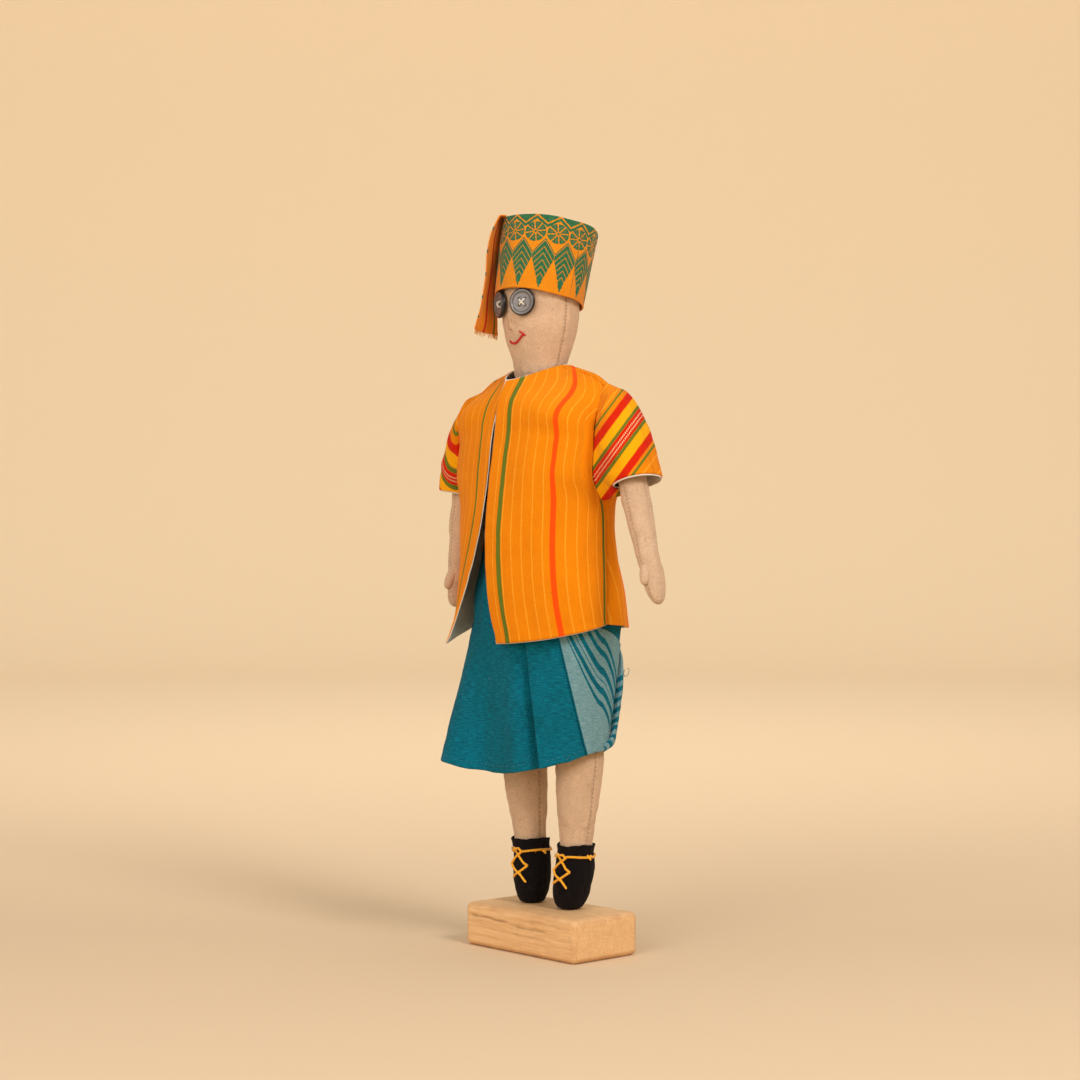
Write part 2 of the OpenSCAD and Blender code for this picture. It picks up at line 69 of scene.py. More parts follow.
def herm(xs, Y, x):
    """Smooth curve through the rows of Y at xs, read at x."""
    xs, Y, x = np.asarray(xs, float), np.asarray(Y, float), np.asarray(x, float)
    h = np.diff(xs)
    shape = (-1,) + (1,) * (Y.ndim - 1)
    sec = np.diff(Y, axis=0) / h.reshape(shape)
    m = np.empty_like(Y)
    m[0], m[-1] = sec[0], sec[-1]
    w = (h[1:] / (h[1:] + h[:-1])).reshape(shape)
    m[1:-1] = sec[:-1] * w + sec[1:] * (1 - w)
    i = np.clip(np.searchsorted(xs, x, side="right") - 1, 0, len(xs) - 2)
    t = ((x - xs[i]) / h[i]).reshape(shape)
    hh = h[i].reshape(shape)
    a, b = 2 * t**3 - 3 * t**2 + 1, t**3 - 2 * t**2 + t
    c, d = -2 * t**3 + 3 * t**2, t**3 - t**2
    return a * Y[i] + b * hh * m[i] + c * Y[i + 1] + d * hh * m[i + 1]


def vnoise(P, scale, seed=0):
    """Smooth noise from -1 to 1 at points P, with lumps about scale across."""
    q = np.asarray(P, float) / scale + 1000.0
    i = np.floor(q).astype(np.int64)
    f = q - i
    f = f * f * f * (f * (f * 6 - 15) + 10)
    out = np.zeros(q.shape[:-1])
    for dx in (0, 1):
        for dy in (0, 1):
            for dz in (0, 1):
                n = ((i[..., 0] + dx) * 374761 + (i[..., 1] + dy) * 668265 + (i[..., 2] + dz) * 914767 + seed * 101393) & 0xFFFFFFFF
                n = ((n ^ (n >> 13)) * 12741261) & 0xFFFFFFFF
                n = ((n ^ (n >> 15)) * 22695477 + 12345) & 0xFFFFFFFF
                v = ((n >> 7) & 0xFFFF) / 32767.5 - 1
                w = (f[..., 0] if dx else 1 - f[..., 0]) * (f[..., 1] if dy else 1 - f[..., 1]) * (f[..., 2] if dz else 1 - f[..., 2])
                out += v * w
    return out


def fbm(P, scale, seed=0, octaves=3, gain=0.5):
    out, a = 0, 1.0
    for k in range(octaves):
        out = out + a * vnoise(P, scale / 2**k, seed + 17 * k)
        a *= gain
    return out


# ------------------------------------------------------------------ the design's shapes, as the CAD source states them
LEFT = np.array([
    [[0, -33, 144], [42, -36, 146], [41, -3, 153]],
    [[-2, -36, 163], [43, -36, 164], [41, -3, 167]],
    [[-3, -37, 182], [43, -36, 184], [40.5, -3, 186]],
    [[-3, -36.5, 206], [42, -35, 208], [40, -4, 208]],
    [[-3, -34.5, 224], [43, -33, 222], [41.5, -12, 218]],
    [[-3, -32, 240], [40, -29, 238], [42.5, -13, 232]],
    [[-3, -29, 256], [33, -26, 257.5], [41.6, -9.5, 249.5]]], float)
RIGHT = np.array([
    [[-33.6, -35, 143], [-44, -22, 146], [-45.6, -3, 153]],
    [[-23.6, -34.3, 163], [-44, -28, 164], [-45.6, -3, 167]],
    [[-14.4, -34.6, 184], [-45, -31, 184], [-45.1, -3, 186]],
    [[-8.4, -34.4, 207], [-45, -32, 208], [-44.6, -4, 208]],
    [[-7.0, -33.2, 224], [-45, -31, 222], [-46.1, -12, 218]],
    [[-6, -31.5, 240], [-42, -28, 238], [-47.1, -13, 232]],
    [[-4.4, -28, 256], [-37, -25, 258.5], [-46.2, -9.5, 249.5]]], float)
TOP = np.array([[-2.9, -25, 264], [4.5, -21, 266], [9.5, -14, 269], [11.5, -6.5, 271.3], [12.5, -2.5, 272],
                [19, -2.5, 270.7], [26.5, -2.5, 268.7], [34, -2.5, 266.2], [40.6, -2.5, 262.2]], float)
BACK = np.array([
    [[41, -2, 153], [44, 28.5, 150], [BX, 26, 150]],
    [[41, -2, 167], [43, 25, 165], [BX, 25.5, 165]],
    [[40.5, -2, 186], [40, 18.5, 185], [BX, 23, 185]],
    [[40, -3, 208], [39, 17.5, 208], [BX, 21.5, 208]],
    [[41.5, 8, 218], [39, 19, 222], [BX, 20.5, 224]],
    [[42.5, 9, 232], [39, 19, 238], [BX, 19.5, 240]],
    [[41.6, 5.5, 249.5], [32, 16, 257], [BX, 17.5, 257]]], float)
BACKTOP = np.array([[40.6, -1.8, 262.2], [34, -1.8, 266.2], [26.5, -1.8, 268.7], [19, -1.8, 270.7], [12.5, -1.8, 272],
                    [10.5, 4.5, 272], [5.5, 9.5, 271.5], [BX, 11.5, 271]], float)
LEVELS = [0, 19, 38, 62, 80, 96, 112, 121]


def mirror_x(P):
    Q = np.array(P, float)
    Q[..., 0] = 2 * BX - Q[..., 0]
    return Q


def quad_row(row, t):
    t = t[:, None]
    return row[0] * (1 - t) ** 2 + row[1] * 2 * t * (1 - t) + row[2] * t * t


def front_surface(side, s, t):
    """Jacket front: s is the height level from 0 at the hem to 121 at the neck and shoulder, t is 0 at the front edge and 1 at the side."""
    rows = [quad_row(r, t) for r in (LEFT if side > 0 else RIGHT)]
    top = TOP if side > 0 else mirror_x(np.vstack([[-1.1, -25, 264], TOP[1:]]))
    rows.append(herm(np.linspace(0, 1, len(top)), top, t))
    return herm(LEVELS, np.array(rows), s)


def back_surface(s, t):
    rows = []
    for r in BACK:
        half = quad_row(r, np.minimum(t, 1 - t) * 2)
        half[t > 0.5] = mirror_x(half[t > 0.5])
        rows.append(half)
    half = herm(np.linspace(0, 1, len(BACKTOP)), BACKTOP, np.minimum(t, 1 - t) * 2)
    half[t > 0.5] = mirror_x(half[t > 0.5])
    rows.append(half)
    return herm(LEVELS, np.array(rows), s)


def bump(f, f0, w):
    d = np.abs(((f - f0 + 540) % 360) - 180)
    return np.exp(-((d / w) ** 2))


def hem_z(f):
    return 84 + 3.5 * bump(f, 228, 30) + 11 * bump(f, 10, 60) + 4 * bump(f, 110, 60)


def skirt_point(f, u, cut=0.0):
    """f in degrees, u is 0 at the hem and 1 at the waist."""
    c, s = np.cos(np.radians(f)), np.sin(np.radians(f))
    z = hem_z(f) * (1 - u) + 152 * u
    a = 37 - cut - 1.5 * (1 - u)
    b = np.where(s < 0, 28.5, 24.5 - 1.8 * u) - cut
    x, y = a * np.sign(c) * np.abs(c) ** 0.74, b * np.sign(s) * np.abs(s) ** 0.74
    g = 1 + ((-0.8 + 16 * (1 - u)) * bump(f, 228, 34) + (2 - 8.5 * (1 - u)) * bump(f, 48, 34)) / 34
    return np.stack([BX + x * g, y * g, z], -1)


# ------------------------------------------------------------------ meshes
def grid_normals(P, cv=False, cu=False):
    def diff(A, axis, closed):
        return np.roll(A, -1, axis) - np.roll(A, 1, axis) if closed else np.gradient(A, axis=axis)
    return unit(np.cross(diff(P, 1, cv), diff(P, 0, cu)))


def quads(nu, nv, cv=False, cu=False, off=0, flip=False):
    i = np.arange(nu if cu else nu - 1)[:, None]
    j = np.arange(nv if cv else nv - 1)[None, :]
    a, b = i * nv + j, i * nv + (j + 1) % nv
    c, d = ((i + 1) % nu) * nv + (j + 1) % nv, ((i + 1) % nu) * nv + j
    F = np.stack([a + 0 * b, b, c, d], -1).reshape(-1, 4) + off
    return F[:, ::-1] if flip else F


def thick(P, t, cv=False, uv=None, bulge=0.5):
    """A closed thin solid under the surface P: rows go up, columns counter-clockwise from above. Returns V, F, face group, uv."""
    nu, nv = P.shape[:2]
    N = grid_normals(P, cv)
    t = np.broadcast_to(np.asarray(t, float), (nu, nv))[..., None]
    Q = P - N * t
    M = P - N * t / 2
    if uv is None:
        uv = np.zeros(P.shape)
    n = nu * nv
    V = [P.reshape(-1, 3), Q.reshape(-1, 3)]
    W = [uv.reshape(-1, 3), uv.reshape(-1, 3)]
    F = [quads(nu, nv, cv), quads(nu, nv, cv, off=n, flip=True)]
    G = [np.zeros(len(F[0]), int), np.ones(len(F[1]), int)]
    ids = np.arange(n).reshape(nu, nv)
    up, dn = unit(P[-1] - P[-2]), unit(P[0] - P[1])
    if cv:
        loops = [(ids[0], dn), (ids[-1][::-1], up[::-1])]
    else:
        lf, rt = unit(P[:, 0] - P[:, 1]), unit(P[:, -1] - P[:, -2])
        order = np.concatenate([ids[0], ids[1:, -1], ids[-1, :-1][::-1], ids[1:-1, 0][::-1]])
        out = np.zeros((n, 3))
        out[ids[0]] += dn
        out[ids[-1]] += up
        out[ids[:, 0]] += lf
        out[ids[:, -1]] += rt
        loops = [(order, unit(out[order]))]
    at = 2 * n
    for loop, out in loops:
        k = len(loop)
        tt = t.reshape(-1, 1)[loop]
        V.append(M.reshape(-1, 3)[loop] + out * tt * bulge)
        W.append(uv.reshape(-1, 3)[loop])
        j = np.arange(k)
        p, q = loop, np.roll(loop, -1)
        mp, mq = at + j, at + (j + 1) % k
        F += [np.stack([q, p, mp, mq], -1), np.stack([mq, mp, n + p, n + q], -1)]
        G += [np.full(k, 2), np.full(k, 2)]
        at += k
    return np.concatenate(V), np.concatenate(F), np.concatenate(G), np.concatenate(W)


def closed_rings(R, uv=None):
    """A solid from rings that go up, each counter-clockwise from above, closed by fans."""
    R = np.asarray(R, float)
    nu, nv = R.shape[:2]
    n = nu * nv
    V = np.concatenate([R.reshape(-1, 3), R[0].mean(0)[None], R[-1].mean(0)[None]])
    F = [list(f) for f in quads(nu, nv, True)]
    for j in range(nv):
        F.append([n, (j + 1) % nv, j])
        F.append([n + 1, (nu - 1) * nv + j, (nu - 1) * nv + (j + 1) % nv])
    W = np.zeros((len(V), 3))
    if uv is not None:
        W[:n] = uv.reshape(-1, 3)
        W[n], W[n + 1] = uv[0].mean(0), uv[-1].mean(0)
    return V, F, W


def tube(path, r, n=8, twist=0.0, lobe=0.0, closed=False, plies=2):
    """A thread along path: r may vary along it, twist is turns per mm and lobe how far its plies stand out."""
    p = np.asarray(path, float)
    m = len(p)
    T = np.roll(p, -1, 0) - np.roll(p, 1, 0) if closed else np.gradient(p, axis=0)
    T = unit(T)
    ref = np.array([0.31, 0.17, 0.93])
    a = unit(np.cross(T[0], ref if abs(T[0] @ ref) < 0.95 else [1, 0, 0]))
    A = [a]
    for k in range(1, m):
        a = A[-1] - T[k] * (A[-1] @ T[k])
        A.append(unit(a))
    A = np.array(A)
    if closed:
        end = A[-1] - T[0] * (A[-1] @ T[0])
        end = unit(end)
        ang = math.atan2(float(np.cross(end, A[0]) @ T[0]), float(end @ A[0]))
        w = np.linspace(0, ang, m, endpoint=False)[:, None]
        A = A * np.cos(w) + np.cross(T, A) * np.sin(w)
    B = np.cross(T, A)
    s = np.concatenate([[0], np.cumsum(np.linalg.norm(np.diff(p, axis=0), axis=1))])
    phi = np.linspace(0, 2 * PI, n, endpoint=False)
    r = np.broadcast_to(np.asarray(r, float), (m,))
    rr = r[:, None] * (1 + lobe * np.cos(plies * (phi[None] - 2 * PI * twist * s[:, None])))
    V = (p[:, None] + A[:, None] * (rr * np.cos(phi))[..., None] + B[:, None] * (rr * np.sin(phi))[..., None]).reshape(-1, 3)
    F = [list(f) for f in quads(m, n, True, closed, flip=False)]
    if not closed:
        V = np.concatenate([V, [p[0] - T[0] * r[0] * 0.4, p[-1] + T[-1] * r[-1] * 0.4]])
        for j in range(n):
            F.append([m * n, (j + 1) % n, j])
            F.append([m * n + 1, (m - 1) * n + j, (m - 1) * n + (j + 1) % n])
    W = np.zeros((len(V), 3))
    W[: m * n, 0] = np.repeat(s, n)
    W[: m * n, 1] = np.tile(phi, m)
    return V, F, W


def joined(parts):
    V, F, W, at = [], [], [], 0
    for v, f, w in parts:
        V.append(v)
        F += [[int(i) + at for i in q] for q in f]
        W.append(w)
        at += len(v)
    return np.concatenate(V), F, np.concatenate(W)


made = {}


def piece(name, V, F, mats, body=None, rep=(), group=None, uv=None, smooth=True, level=0, flatten=None):
    """Makes the object. V in millimetres. rest and cloth are kept on the points, so a pattern stays on its cloth when it bends."""
    me = bpy.data.meshes.new(name)
    me.from_pydata((np.asarray(V, float) * 0.001).tolist(), [], [list(map(int, f)) for f in F])
    ob = bpy.data.objects.new(name, me)
    bpy.context.scene.collection.objects.link(ob)
    for m in mats:
        me.materials.append(m)
    if group is not None:
        me.polygons.foreach_set("material_index", np.minimum(np.asarray(group, np.int32), len(mats) - 1))
    if smooth:
        me.polygons.foreach_set("use_smooth", np.ones(len(me.polygons), bool))
    for key, val in (("rest", V), ("cloth", uv if uv is not None else V)):
        at = me.attributes.new(key, "FLOAT_VECTOR", "POINT")
        at.data.foreach_set("vector", np.asarray(val, np.float32).ravel())
    me.update()
    if level:
        mod = ob.modifiers.new("smooth", "SUBSURF")
        mod.levels = mod.render_levels = level
    if body:
        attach(ob, body)
    if rep:
        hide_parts(*rep)
    made[name] = ob
    return ob


def stitches(path, normal, pitch=1.7, length=1.05, r=0.13, lift=0.05, start=0.0, n=6):
    """Running stitches along path that dive into the cloth at both ends."""
    p = np.asarray(path, float)
    s = np.concatenate([[0], np.cumsum(np.linalg.norm(np.diff(p, axis=0), axis=1))])
    nrm = np.broadcast_to(np.asarray(normal, float), p.shape)
    out = []
    a = start
    while a + length < s[-1]:
        q = np.linspace(a, a + length, 6)
        c = np.stack([np.interp(q, s, p[:, k]) for k in range(3)], -1)
        m = unit(np.stack([np.interp(q, s, nrm[:, k]) for k in range(3)], -1))
        h = np.array([-0.25, 0.03, 0.1, 0.1, 0.03, -0.25])[:, None] * (r * 3)
        out.append(tube(c + m * (h + lift), np.array([0.7, 1, 1, 1, 1, 0.7]) * r, n))
        a += pitch
    return joined(out)


# ------------------------------------------------------------------ materials
class Nodes:
    """Short calls for a material's nodes. Anything given may be a number, a colour or another node's output."""

    def __init__(self, name):
        self.mat = bpy.data.materials.new(name)
        self.mat.use_nodes = True
        self.t = self.mat.node_tree
        self.b = self.t.nodes["Principled BSDF"]

    def put(self, sock, v):
        if v is None:
            return
        if isinstance(v, bpy.types.NodeSocket):
            self.t.links.new(v, sock)
        elif hasattr(v, "__len__") and len(v) == 3 and sock.type == "RGBA":
            sock.default_value = (*v, 1)
        else:
            sock.default_value = v

    def m(self, op, a, b=None, c=None, clamp=False):
        n = self.t.nodes.new("ShaderNodeMath")
        n.operation, n.use_clamp = op, clamp
        for s, v in zip(n.inputs, (a, b, c)):
            self.put(s, v)
        return n.outputs[0]

    def add(self, a, b):
        return self.m("ADD", a, b)

    def sub(self, a, b):
        return self.m("SUBTRACT", a, b)

    def mul(self, a, b):
        return self.m("MULTIPLY", a, b)

    def mx(self, *v):
        out = v[0]
        for x in v[1:]:
            out = self.m("MAXIMUM", out, x)
        return out

    def mn(self, *v):
        out = v[0]
        for x in v[1:]:
            out = self.m("MINIMUM", out, x)
        return out

    def abs(self, a):
        return self.m("ABSOLUTE", a)

    def less(self, a, b, soft=0.06):
        """1 where a is under b, with a soft edge."""
        return self.remap(a, self._s(b, -soft), self._s(b, soft), 1, 0)

    def _s(self, b, d):
        return self.add(b, d) if isinstance(b, bpy.types.NodeSocket) else b + d

    def within(self, x, a, b, soft=0.06):
        return self.mul(self.less(a, x, soft) if isinstance(a, bpy.types.NodeSocket) else self.remap(x, a - soft, a + soft, 0, 1), self.less(x, b, soft))

    def remap(self, v, a, b, c=0.0, d=1.0, smooth=False):
        n = self.t.nodes.new("ShaderNodeMapRange")
        n.interpolation_type = "SMOOTHSTEP" if smooth else "LINEAR"
        for k, x in enumerate((v, a, b, c, d)):
            self.put(n.inputs[k], x)
        return n.outputs[0]

    def mix(self, f, a, b, kind="MIX"):
        n = self.t.nodes.new("ShaderNodeMix")
        n.data_type, n.blend_type = "RGBA", kind
        self.put(n.inputs[0], f)
        self.put(n.inputs[6], a)
        self.put(n.inputs[7], b)
        return n.outputs[2]

    def attr(self, name):
        n = self.t.nodes.new("ShaderNodeAttribute")
        n.attribute_name = name
        return n.outputs["Vector"]

    def xyz(self, v):
        n = self.t.nodes.new("ShaderNodeSeparateXYZ")
        self.put(n.inputs[0], v)
        return n.outputs

    def vec(self, x, y, z=0.0):
        n = self.t.nodes.new("ShaderNodeCombineXYZ")
        for s, v in zip(n.inputs, (x, y, z)):
            self.put(s, v)
        return n.outputs[0]

    def scaled(self, v, s):
        n = self.t.nodes.new("ShaderNodeVectorMath")
        n.operation = "MULTIPLY"
        self.put(n.inputs[0], v)
        n.inputs[1].default_value = s
        return n.outputs[0]

    def noise(self, v, scale, detail=2.0, rough=0.5, dist=0.0):
        n = self.t.nodes.new("ShaderNodeTexNoise")
        self.put(n.inputs["Vector"], v)
        n.inputs["Scale"].default_value = scale
        n.inputs["Detail"].default_value = detail
        n.inputs["Roughness"].default_value = rough
        n.inputs["Distortion"].default_value = dist
        return n.outputs[0]

    def voronoi(self, v, scale, feature="F1", rand=1.0):
        n = self.t.nodes.new("ShaderNodeTexVoronoi")
        n.feature = feature
        self.put(n.inputs["Vector"], v)
        n.inputs["Scale"].default_value = scale
        n.inputs["Randomness"].default_value = rand
        return n.outputs[0]

    def bump(self, h, dist, strength=1.0, normal=None):
        n = self.t.nodes.new("ShaderNodeBump")
        n.inputs["Distance"].default_value = dist
        n.inputs["Strength"].default_value = strength
        self.put(n.inputs["Height"], h)
        self.put(n.inputs["Normal"], normal)
        return n.outputs[0]

    def weave(self, x, y, px, py):
        """Height from 0 to 1 of a plain weave with px and py between threads."""
        a, b = self.m("SINE", self.mul(x, PI / px)), self.m("SINE", self.mul(y, PI / py))
        c = self.add(self.mul(self.mul(a, b), 0.5), 0.5)
        return self.add(self.mul(self.abs(a), c), self.mul(self.abs(b), self.sub(1.0, c)))

    def done(self, color=None, rough=None, normal=None, sheen=0.0, sheen_tint=None, sheen_rough=0.5, ior=None, coat=0.0, coat_rough=0.1, metal=0.0, spec=None, sss=0.0):
        b = self.b.inputs
        self.put(b["Base Color"], color)
        self.put(b["Roughness"], rough)
        self.put(b["Normal"], normal)
        b["Sheen Weight"].default_value = sheen
        b["Sheen Roughness"].default_value = sheen_rough
        if sheen_tint is not None:
            b["Sheen Tint"].default_value = (*sheen_tint, 1)
        if ior is not None:
            b["IOR"].default_value = ior
        b["Coat Weight"].default_value = coat
        b["Coat Roughness"].default_value = coat_rough
        b["Metallic"].default_value = metal
        if spec is not None:
            b["Specular IOR Level"].default_value = spec
        return self.mat


def srgb(r, g, b):
    return tuple((x / 255 / 12.92) if x <= 10.3 else ((x / 255 + 0.055) / 1.055) ** 2.4 for x in (r, g, b))


def cloth_height(N, px, py, coord="cloth"):
    """Weave height with uneven threads; also returns x, y and two noises that run along the threads."""
    c = N.attr(coord)
    x, y, _ = N.xyz(c)
    wob = N.noise(c, 0.35, 2.0)
    xw = N.add(x, N.mul(N.sub(wob, 0.5), 0.5))
    yw = N.add(y, N.mul(N.sub(wob, 0.5), 0.35))
    h = N.weave(xw, yw, px, py)
    th = N.noise(N.vec(N.mul(x, 3.0), N.mul(y, 0.12)), 1.0, 2.0)
    tv = N.noise(N.vec(N.mul(x, 0.12), N.mul(y, 3.0)), 1.0, 2.0)
    return h, x, y, th, tv


def canvas(name, base=(226, 191, 158), dark=(150, 118, 86), fleck=0.8):
    N = Nodes(name)
    p = N.attr("rest")
    h, x, y, th, tv = cloth_height(N, 0.52, 0.52)
    mott = N.noise(p, 0.09, 4.0, 0.6)
    fine = N.noise(p, 1.1, 3.0, 0.7)
    col = N.mix(N.remap(mott, 0.35, 0.7), srgb(*base), srgb(*[int(v * 0.93) for v in base]))
    col = N.mix(N.remap(fine, 0.42, 0.72, 0, 0.55), col, srgb(*[int(v * 0.82) for v in base]))
    # painted shade: the weave's low places between the threads are darkened
    col = N.mix(N.remap(N.sub(1.0, h), 0.3, 1.0, 0, 0.35), col, srgb(*[int(v * 0.72) for v in base]))
    thr = N.mul(N.remap(th, 0.6, 0.75, 0, 1), 0.35)
    col = N.mix(thr, col, srgb(236, 214, 184))
    cell = N.voronoi(p, 0.42)
    size = N.noise(p, 0.42, 0.0)
    spot = N.mul(N.less(cell, 0.12, 0.05), N.remap(size, 0.5, 0.62))
    cell2 = N.voronoi(N.scaled(p, (1.7, 1.7, 0.9)), 0.25)
    spot2 = N.mul(N.less(cell2, 0.1, 0.05), N.remap(N.noise(p, 0.23, 0.0), 0.46, 0.6))
    col = N.mix(N.mul(N.mx(spot, spot2), fleck), col, srgb(*dark))
    grit = N.noise(p, 1.9, 2.0, 0.5)
    col = N.mix(N.remap(grit, 0.6, 0.68, 0, 0.45), col, srgb(168, 126, 92))
    height = N.add(h, N.mul(fine, 0.9))
    return N.done(col, N.remap(fine, 0.3, 0.8, 0.86, 0.97), N.bump(height, 0.00022, 0.8), sheen=0.12, sheen_rough=0.5, spec=0.25)


ORANGE = (238, 137, 3)


def jacket_material(name, side, bands=False, back=False):
    """Orange handloom with fine pale lines, and the side's own stripes."""
    N = Nodes(name)
    p = N.attr("rest")
    h, x, y, th, tv = cloth_height(N, 0.42, 0.42)
    fine = N.noise(p, 1.3, 3.0, 0.7)
    mott = N.noise(p, 0.06, 3.0, 0.55)
    wob = N.mul(N.sub(N.noise(N.vec(N.mul(x, 0.02), N.mul(y, 0.35)), 1.0, 2.0), 0.5), 0.35)
    xs = N.add(x, wob)
    col = N.mix(N.remap(mott, 0.35, 0.68), srgb(*ORANGE), srgb(232, 131, 2))
    col = N.mix(N.remap(th, 0.5, 0.8, 0, 0.5), col, srgb(250, 156, 14))
    col = N.mix(N.remap(tv, 0.5, 0.8, 0, 0.35), col, srgb(222, 124, 2))
    # fine pale lines
    d = N.abs(N.sub(N.m("FRACT", N.mul(N.sub(xs, 2.4 if not bands else 0.5), 1 / 5.3)), 0.5))
    line = N.mul(N.remap(d, 0.035, 0.085, 1, 0), N.remap(N.noise(N.vec(N.mul(x, 0.1), N.mul(y, 1.2)), 1.0, 1.0), 0.3, 0.6, 0.45, 1))
    col = N.mix(N.mul(line, 0.75), col, srgb(255, 172, 48))

    def stripe(col, a, b, c, edge=0.22):
        return N.mix(N.within(xs, a, b, edge), col, srgb(*c))

    green, red, flame, yellow = (104, 118, 34), (214, 36, 4), (255, 82, 6), (250, 172, 4)
    if bands:
        B = bands
        col = stripe(col, B[0], B[1], green)
        col = stripe(col, B[2], B[3], red)
        col = stripe(col, B[3], B[4], yellow)
        col = stripe(col, B[4], B[5], green)
        col = stripe(col, B[5], B[6], red)
        for q in (0.36, 0.68):
            mid = B[5] + (B[6] - B[5]) * q
            dots = N.mul(N.within(xs, mid - 0.32, mid + 0.32, 0.1), N.remap(N.m("SINE", N.mul(y, 2 * PI / 0.95)), -0.25, 0.2))
            col = N.mix(dots, col, srgb(250, 214, 160))
        col = stripe(col, B[6], B[7], green)
        col = stripe(col, B[7], B[8], yellow)
        col = stripe(col, B[8], B[9], red)
        col = stripe(col, B[10], B[11], green)
    elif back:
        for c0 in back:
            col = stripe(col, c0[0], c0[1], {"g": green, "r": flame}[c0[2]])
    elif side > 0:
        col = stripe(col, 7.15, 9.75, green)
        col = stripe(col, 34.9, 37.6, flame)
        side_d = N.xyz(N.attr("cloth"))[2]
        col = N.mix(N.mul(N.within(side_d, 1.0, 2.5, 0.15), N.less(y, 64.0, 0.5)), col, srgb(*green))
    else:
        col = stripe(col, 5.2, 6.5, green)
        col = stripe(col, 33.6, 36.0, flame)
    shade = N.remap(N.sub(1.0, h), 0.25, 1.0, 0, 0.3)
    col = N.mix(shade, col, N.mix(1.0, col, (0.55, 0.5, 0.45), "MULTIPLY"))
    cell = N.voronoi(p, 0.16)
    spot = N.mul(N.less(cell, 0.05, 0.03), N.remap(N.noise(p, 0.13, 0.0), 0.5, 0.62))
    col = N.mix(N.mul(spot, 0.5), col, srgb(150, 80, 10))
    height = N.add(N.add(h, N.mul(fine, 0.8)), N.mul(line, 0.5))
    return N.done(col, N.remap(fine, 0.3, 0.8, 0.82, 0.95), N.bump(height, 0.00016, 0.8), sheen=0.04, sheen_rough=0.45, spec=0.1)


def lining_material(name="pale_lining"):
    N = Nodes(name)
    p = N.attr("rest")
    h, x, y, th, tv = cloth_height(N, 0.4, 0.4)
    fine = N.noise(p, 1.2, 3.0, 0.7)
    col = N.mix(N.remap(N.noise(p, 0.08, 3.0), 0.35, 0.7), srgb(236, 230, 221), srgb(222, 214, 203))
    # painted shade: the weave's low places between the threads are darkened
    col = N.mix(N.remap(N.sub(1.0, h), 0.3, 1, 0, 0.3), col, srgb(160, 150, 138))
    return N.done(col, 0.92, N.bump(N.add(h, fine), 0.00012, 0.7), sheen=0.15, spec=0.2)


def thread_material(name, c, dark=0.6, twist=1.6, sheen=0.3):
    N = Nodes(name)
    c1 = srgb(*c)
    x, y, _ = N.xyz(N.attr("cloth"))
    ply = N.m("SINE", N.add(N.mul(x, 2 * PI * twist), N.mul(y, 2.0)))
    fine = N.noise(N.attr("rest"), 3.0, 2.0)
    # painted shade in the grooves between the twisted plies
    col = N.mix(N.remap(ply, -1, 1, 0, 0.5), c1, tuple(v * dark for v in c1))
    col = N.mix(N.remap(fine, 0.4, 0.75, 0, 0.4), col, tuple(min(1, v * 1.25 + 0.01) for v in c1))
    return N.done(col, 0.75, N.bump(N.add(ply, fine), 0.00006, 0.6), sheen=sheen, spec=0.3)


def skirt_material(name="teal_handloom", border=False):
    N = Nodes(name)
    p = N.attr("rest")
    h, x, y, th, tv = cloth_height(N, 0.55, 0.5)
    fine = N.noise(p, 1.2, 3.0, 0.7)
    slub_w = N.noise(N.vec(N.mul(x, 0.3), N.mul(y, 1.9)), 1.0, 4.0, 0.65)     # thick places in the crosswise yarn
    slub_v = N.noise(N.vec(N.mul(x, 1.9), N.mul(y, 0.3)), 1.0, 4.0, 0.65)
    mott = N.noise(p, 0.05, 3.0)
    base, light, dark = srgb(0, 104, 129), srgb(10, 134, 158), srgb(0, 66, 84)
    col = N.mix(N.remap(mott, 0.3, 0.7), base, srgb(0, 88, 104))
    col = N.mix(N.remap(slub_w, 0.46, 0.72, 0, 0.75), col, light)
    col = N.mix(N.remap(slub_v, 0.5, 0.75, 0, 0.5), col, light)
    col = N.mix(N.remap(slub_w, 0.5, 0.28, 0, 0.6), col, dark)
    white = N.noise(N.vec(N.mul(x, 0.35), N.mul(y, 1.1)), 1.0, 2.0, 0.5)
    col = N.mix(N.remap(white, 0.7, 0.8, 0, 0.35), col, srgb(120, 170, 176))
    if border:
        # a pale band beside the edge, then teal stripes; cloth z holds the place across the border
        z = N.xyz(N.attr("cloth"))[2]
        pale = N.mix(N.remap(slub_w, 0.4, 0.75), srgb(104, 148, 158), srgb(150, 182, 188))
        pale = N.mix(N.remap(slub_v, 0.45, 0.75, 0, 0.5), pale, srgb(84, 130, 142))
        mask = N.within(z, 0.0, 100.0, 0.05)
        for a, b in border:
            mask = N.mul(mask, N.sub(1.0, N.within(z, a, b, 0.035)))
        col = N.mix(mask, col, pale)
    # painted shade: the weave's low places between the threads are darkened
    col = N.mix(N.remap(N.sub(1.0, h), 0.3, 1.0, 0, 0.4), col, N.mix(1.0, col, (0.35, 0.4, 0.42), "MULTIPLY"))
    height = N.add(N.add(h, N.mul(slub_w, 1.6)), N.mul(fine, 0.8))
    return N.done(col, N.remap(fine, 0.3, 0.8, 0.8, 0.95), N.bump(height, 0.0002, 0.8), sheen=0.03, sheen_rough=0.45, spec=0.1)


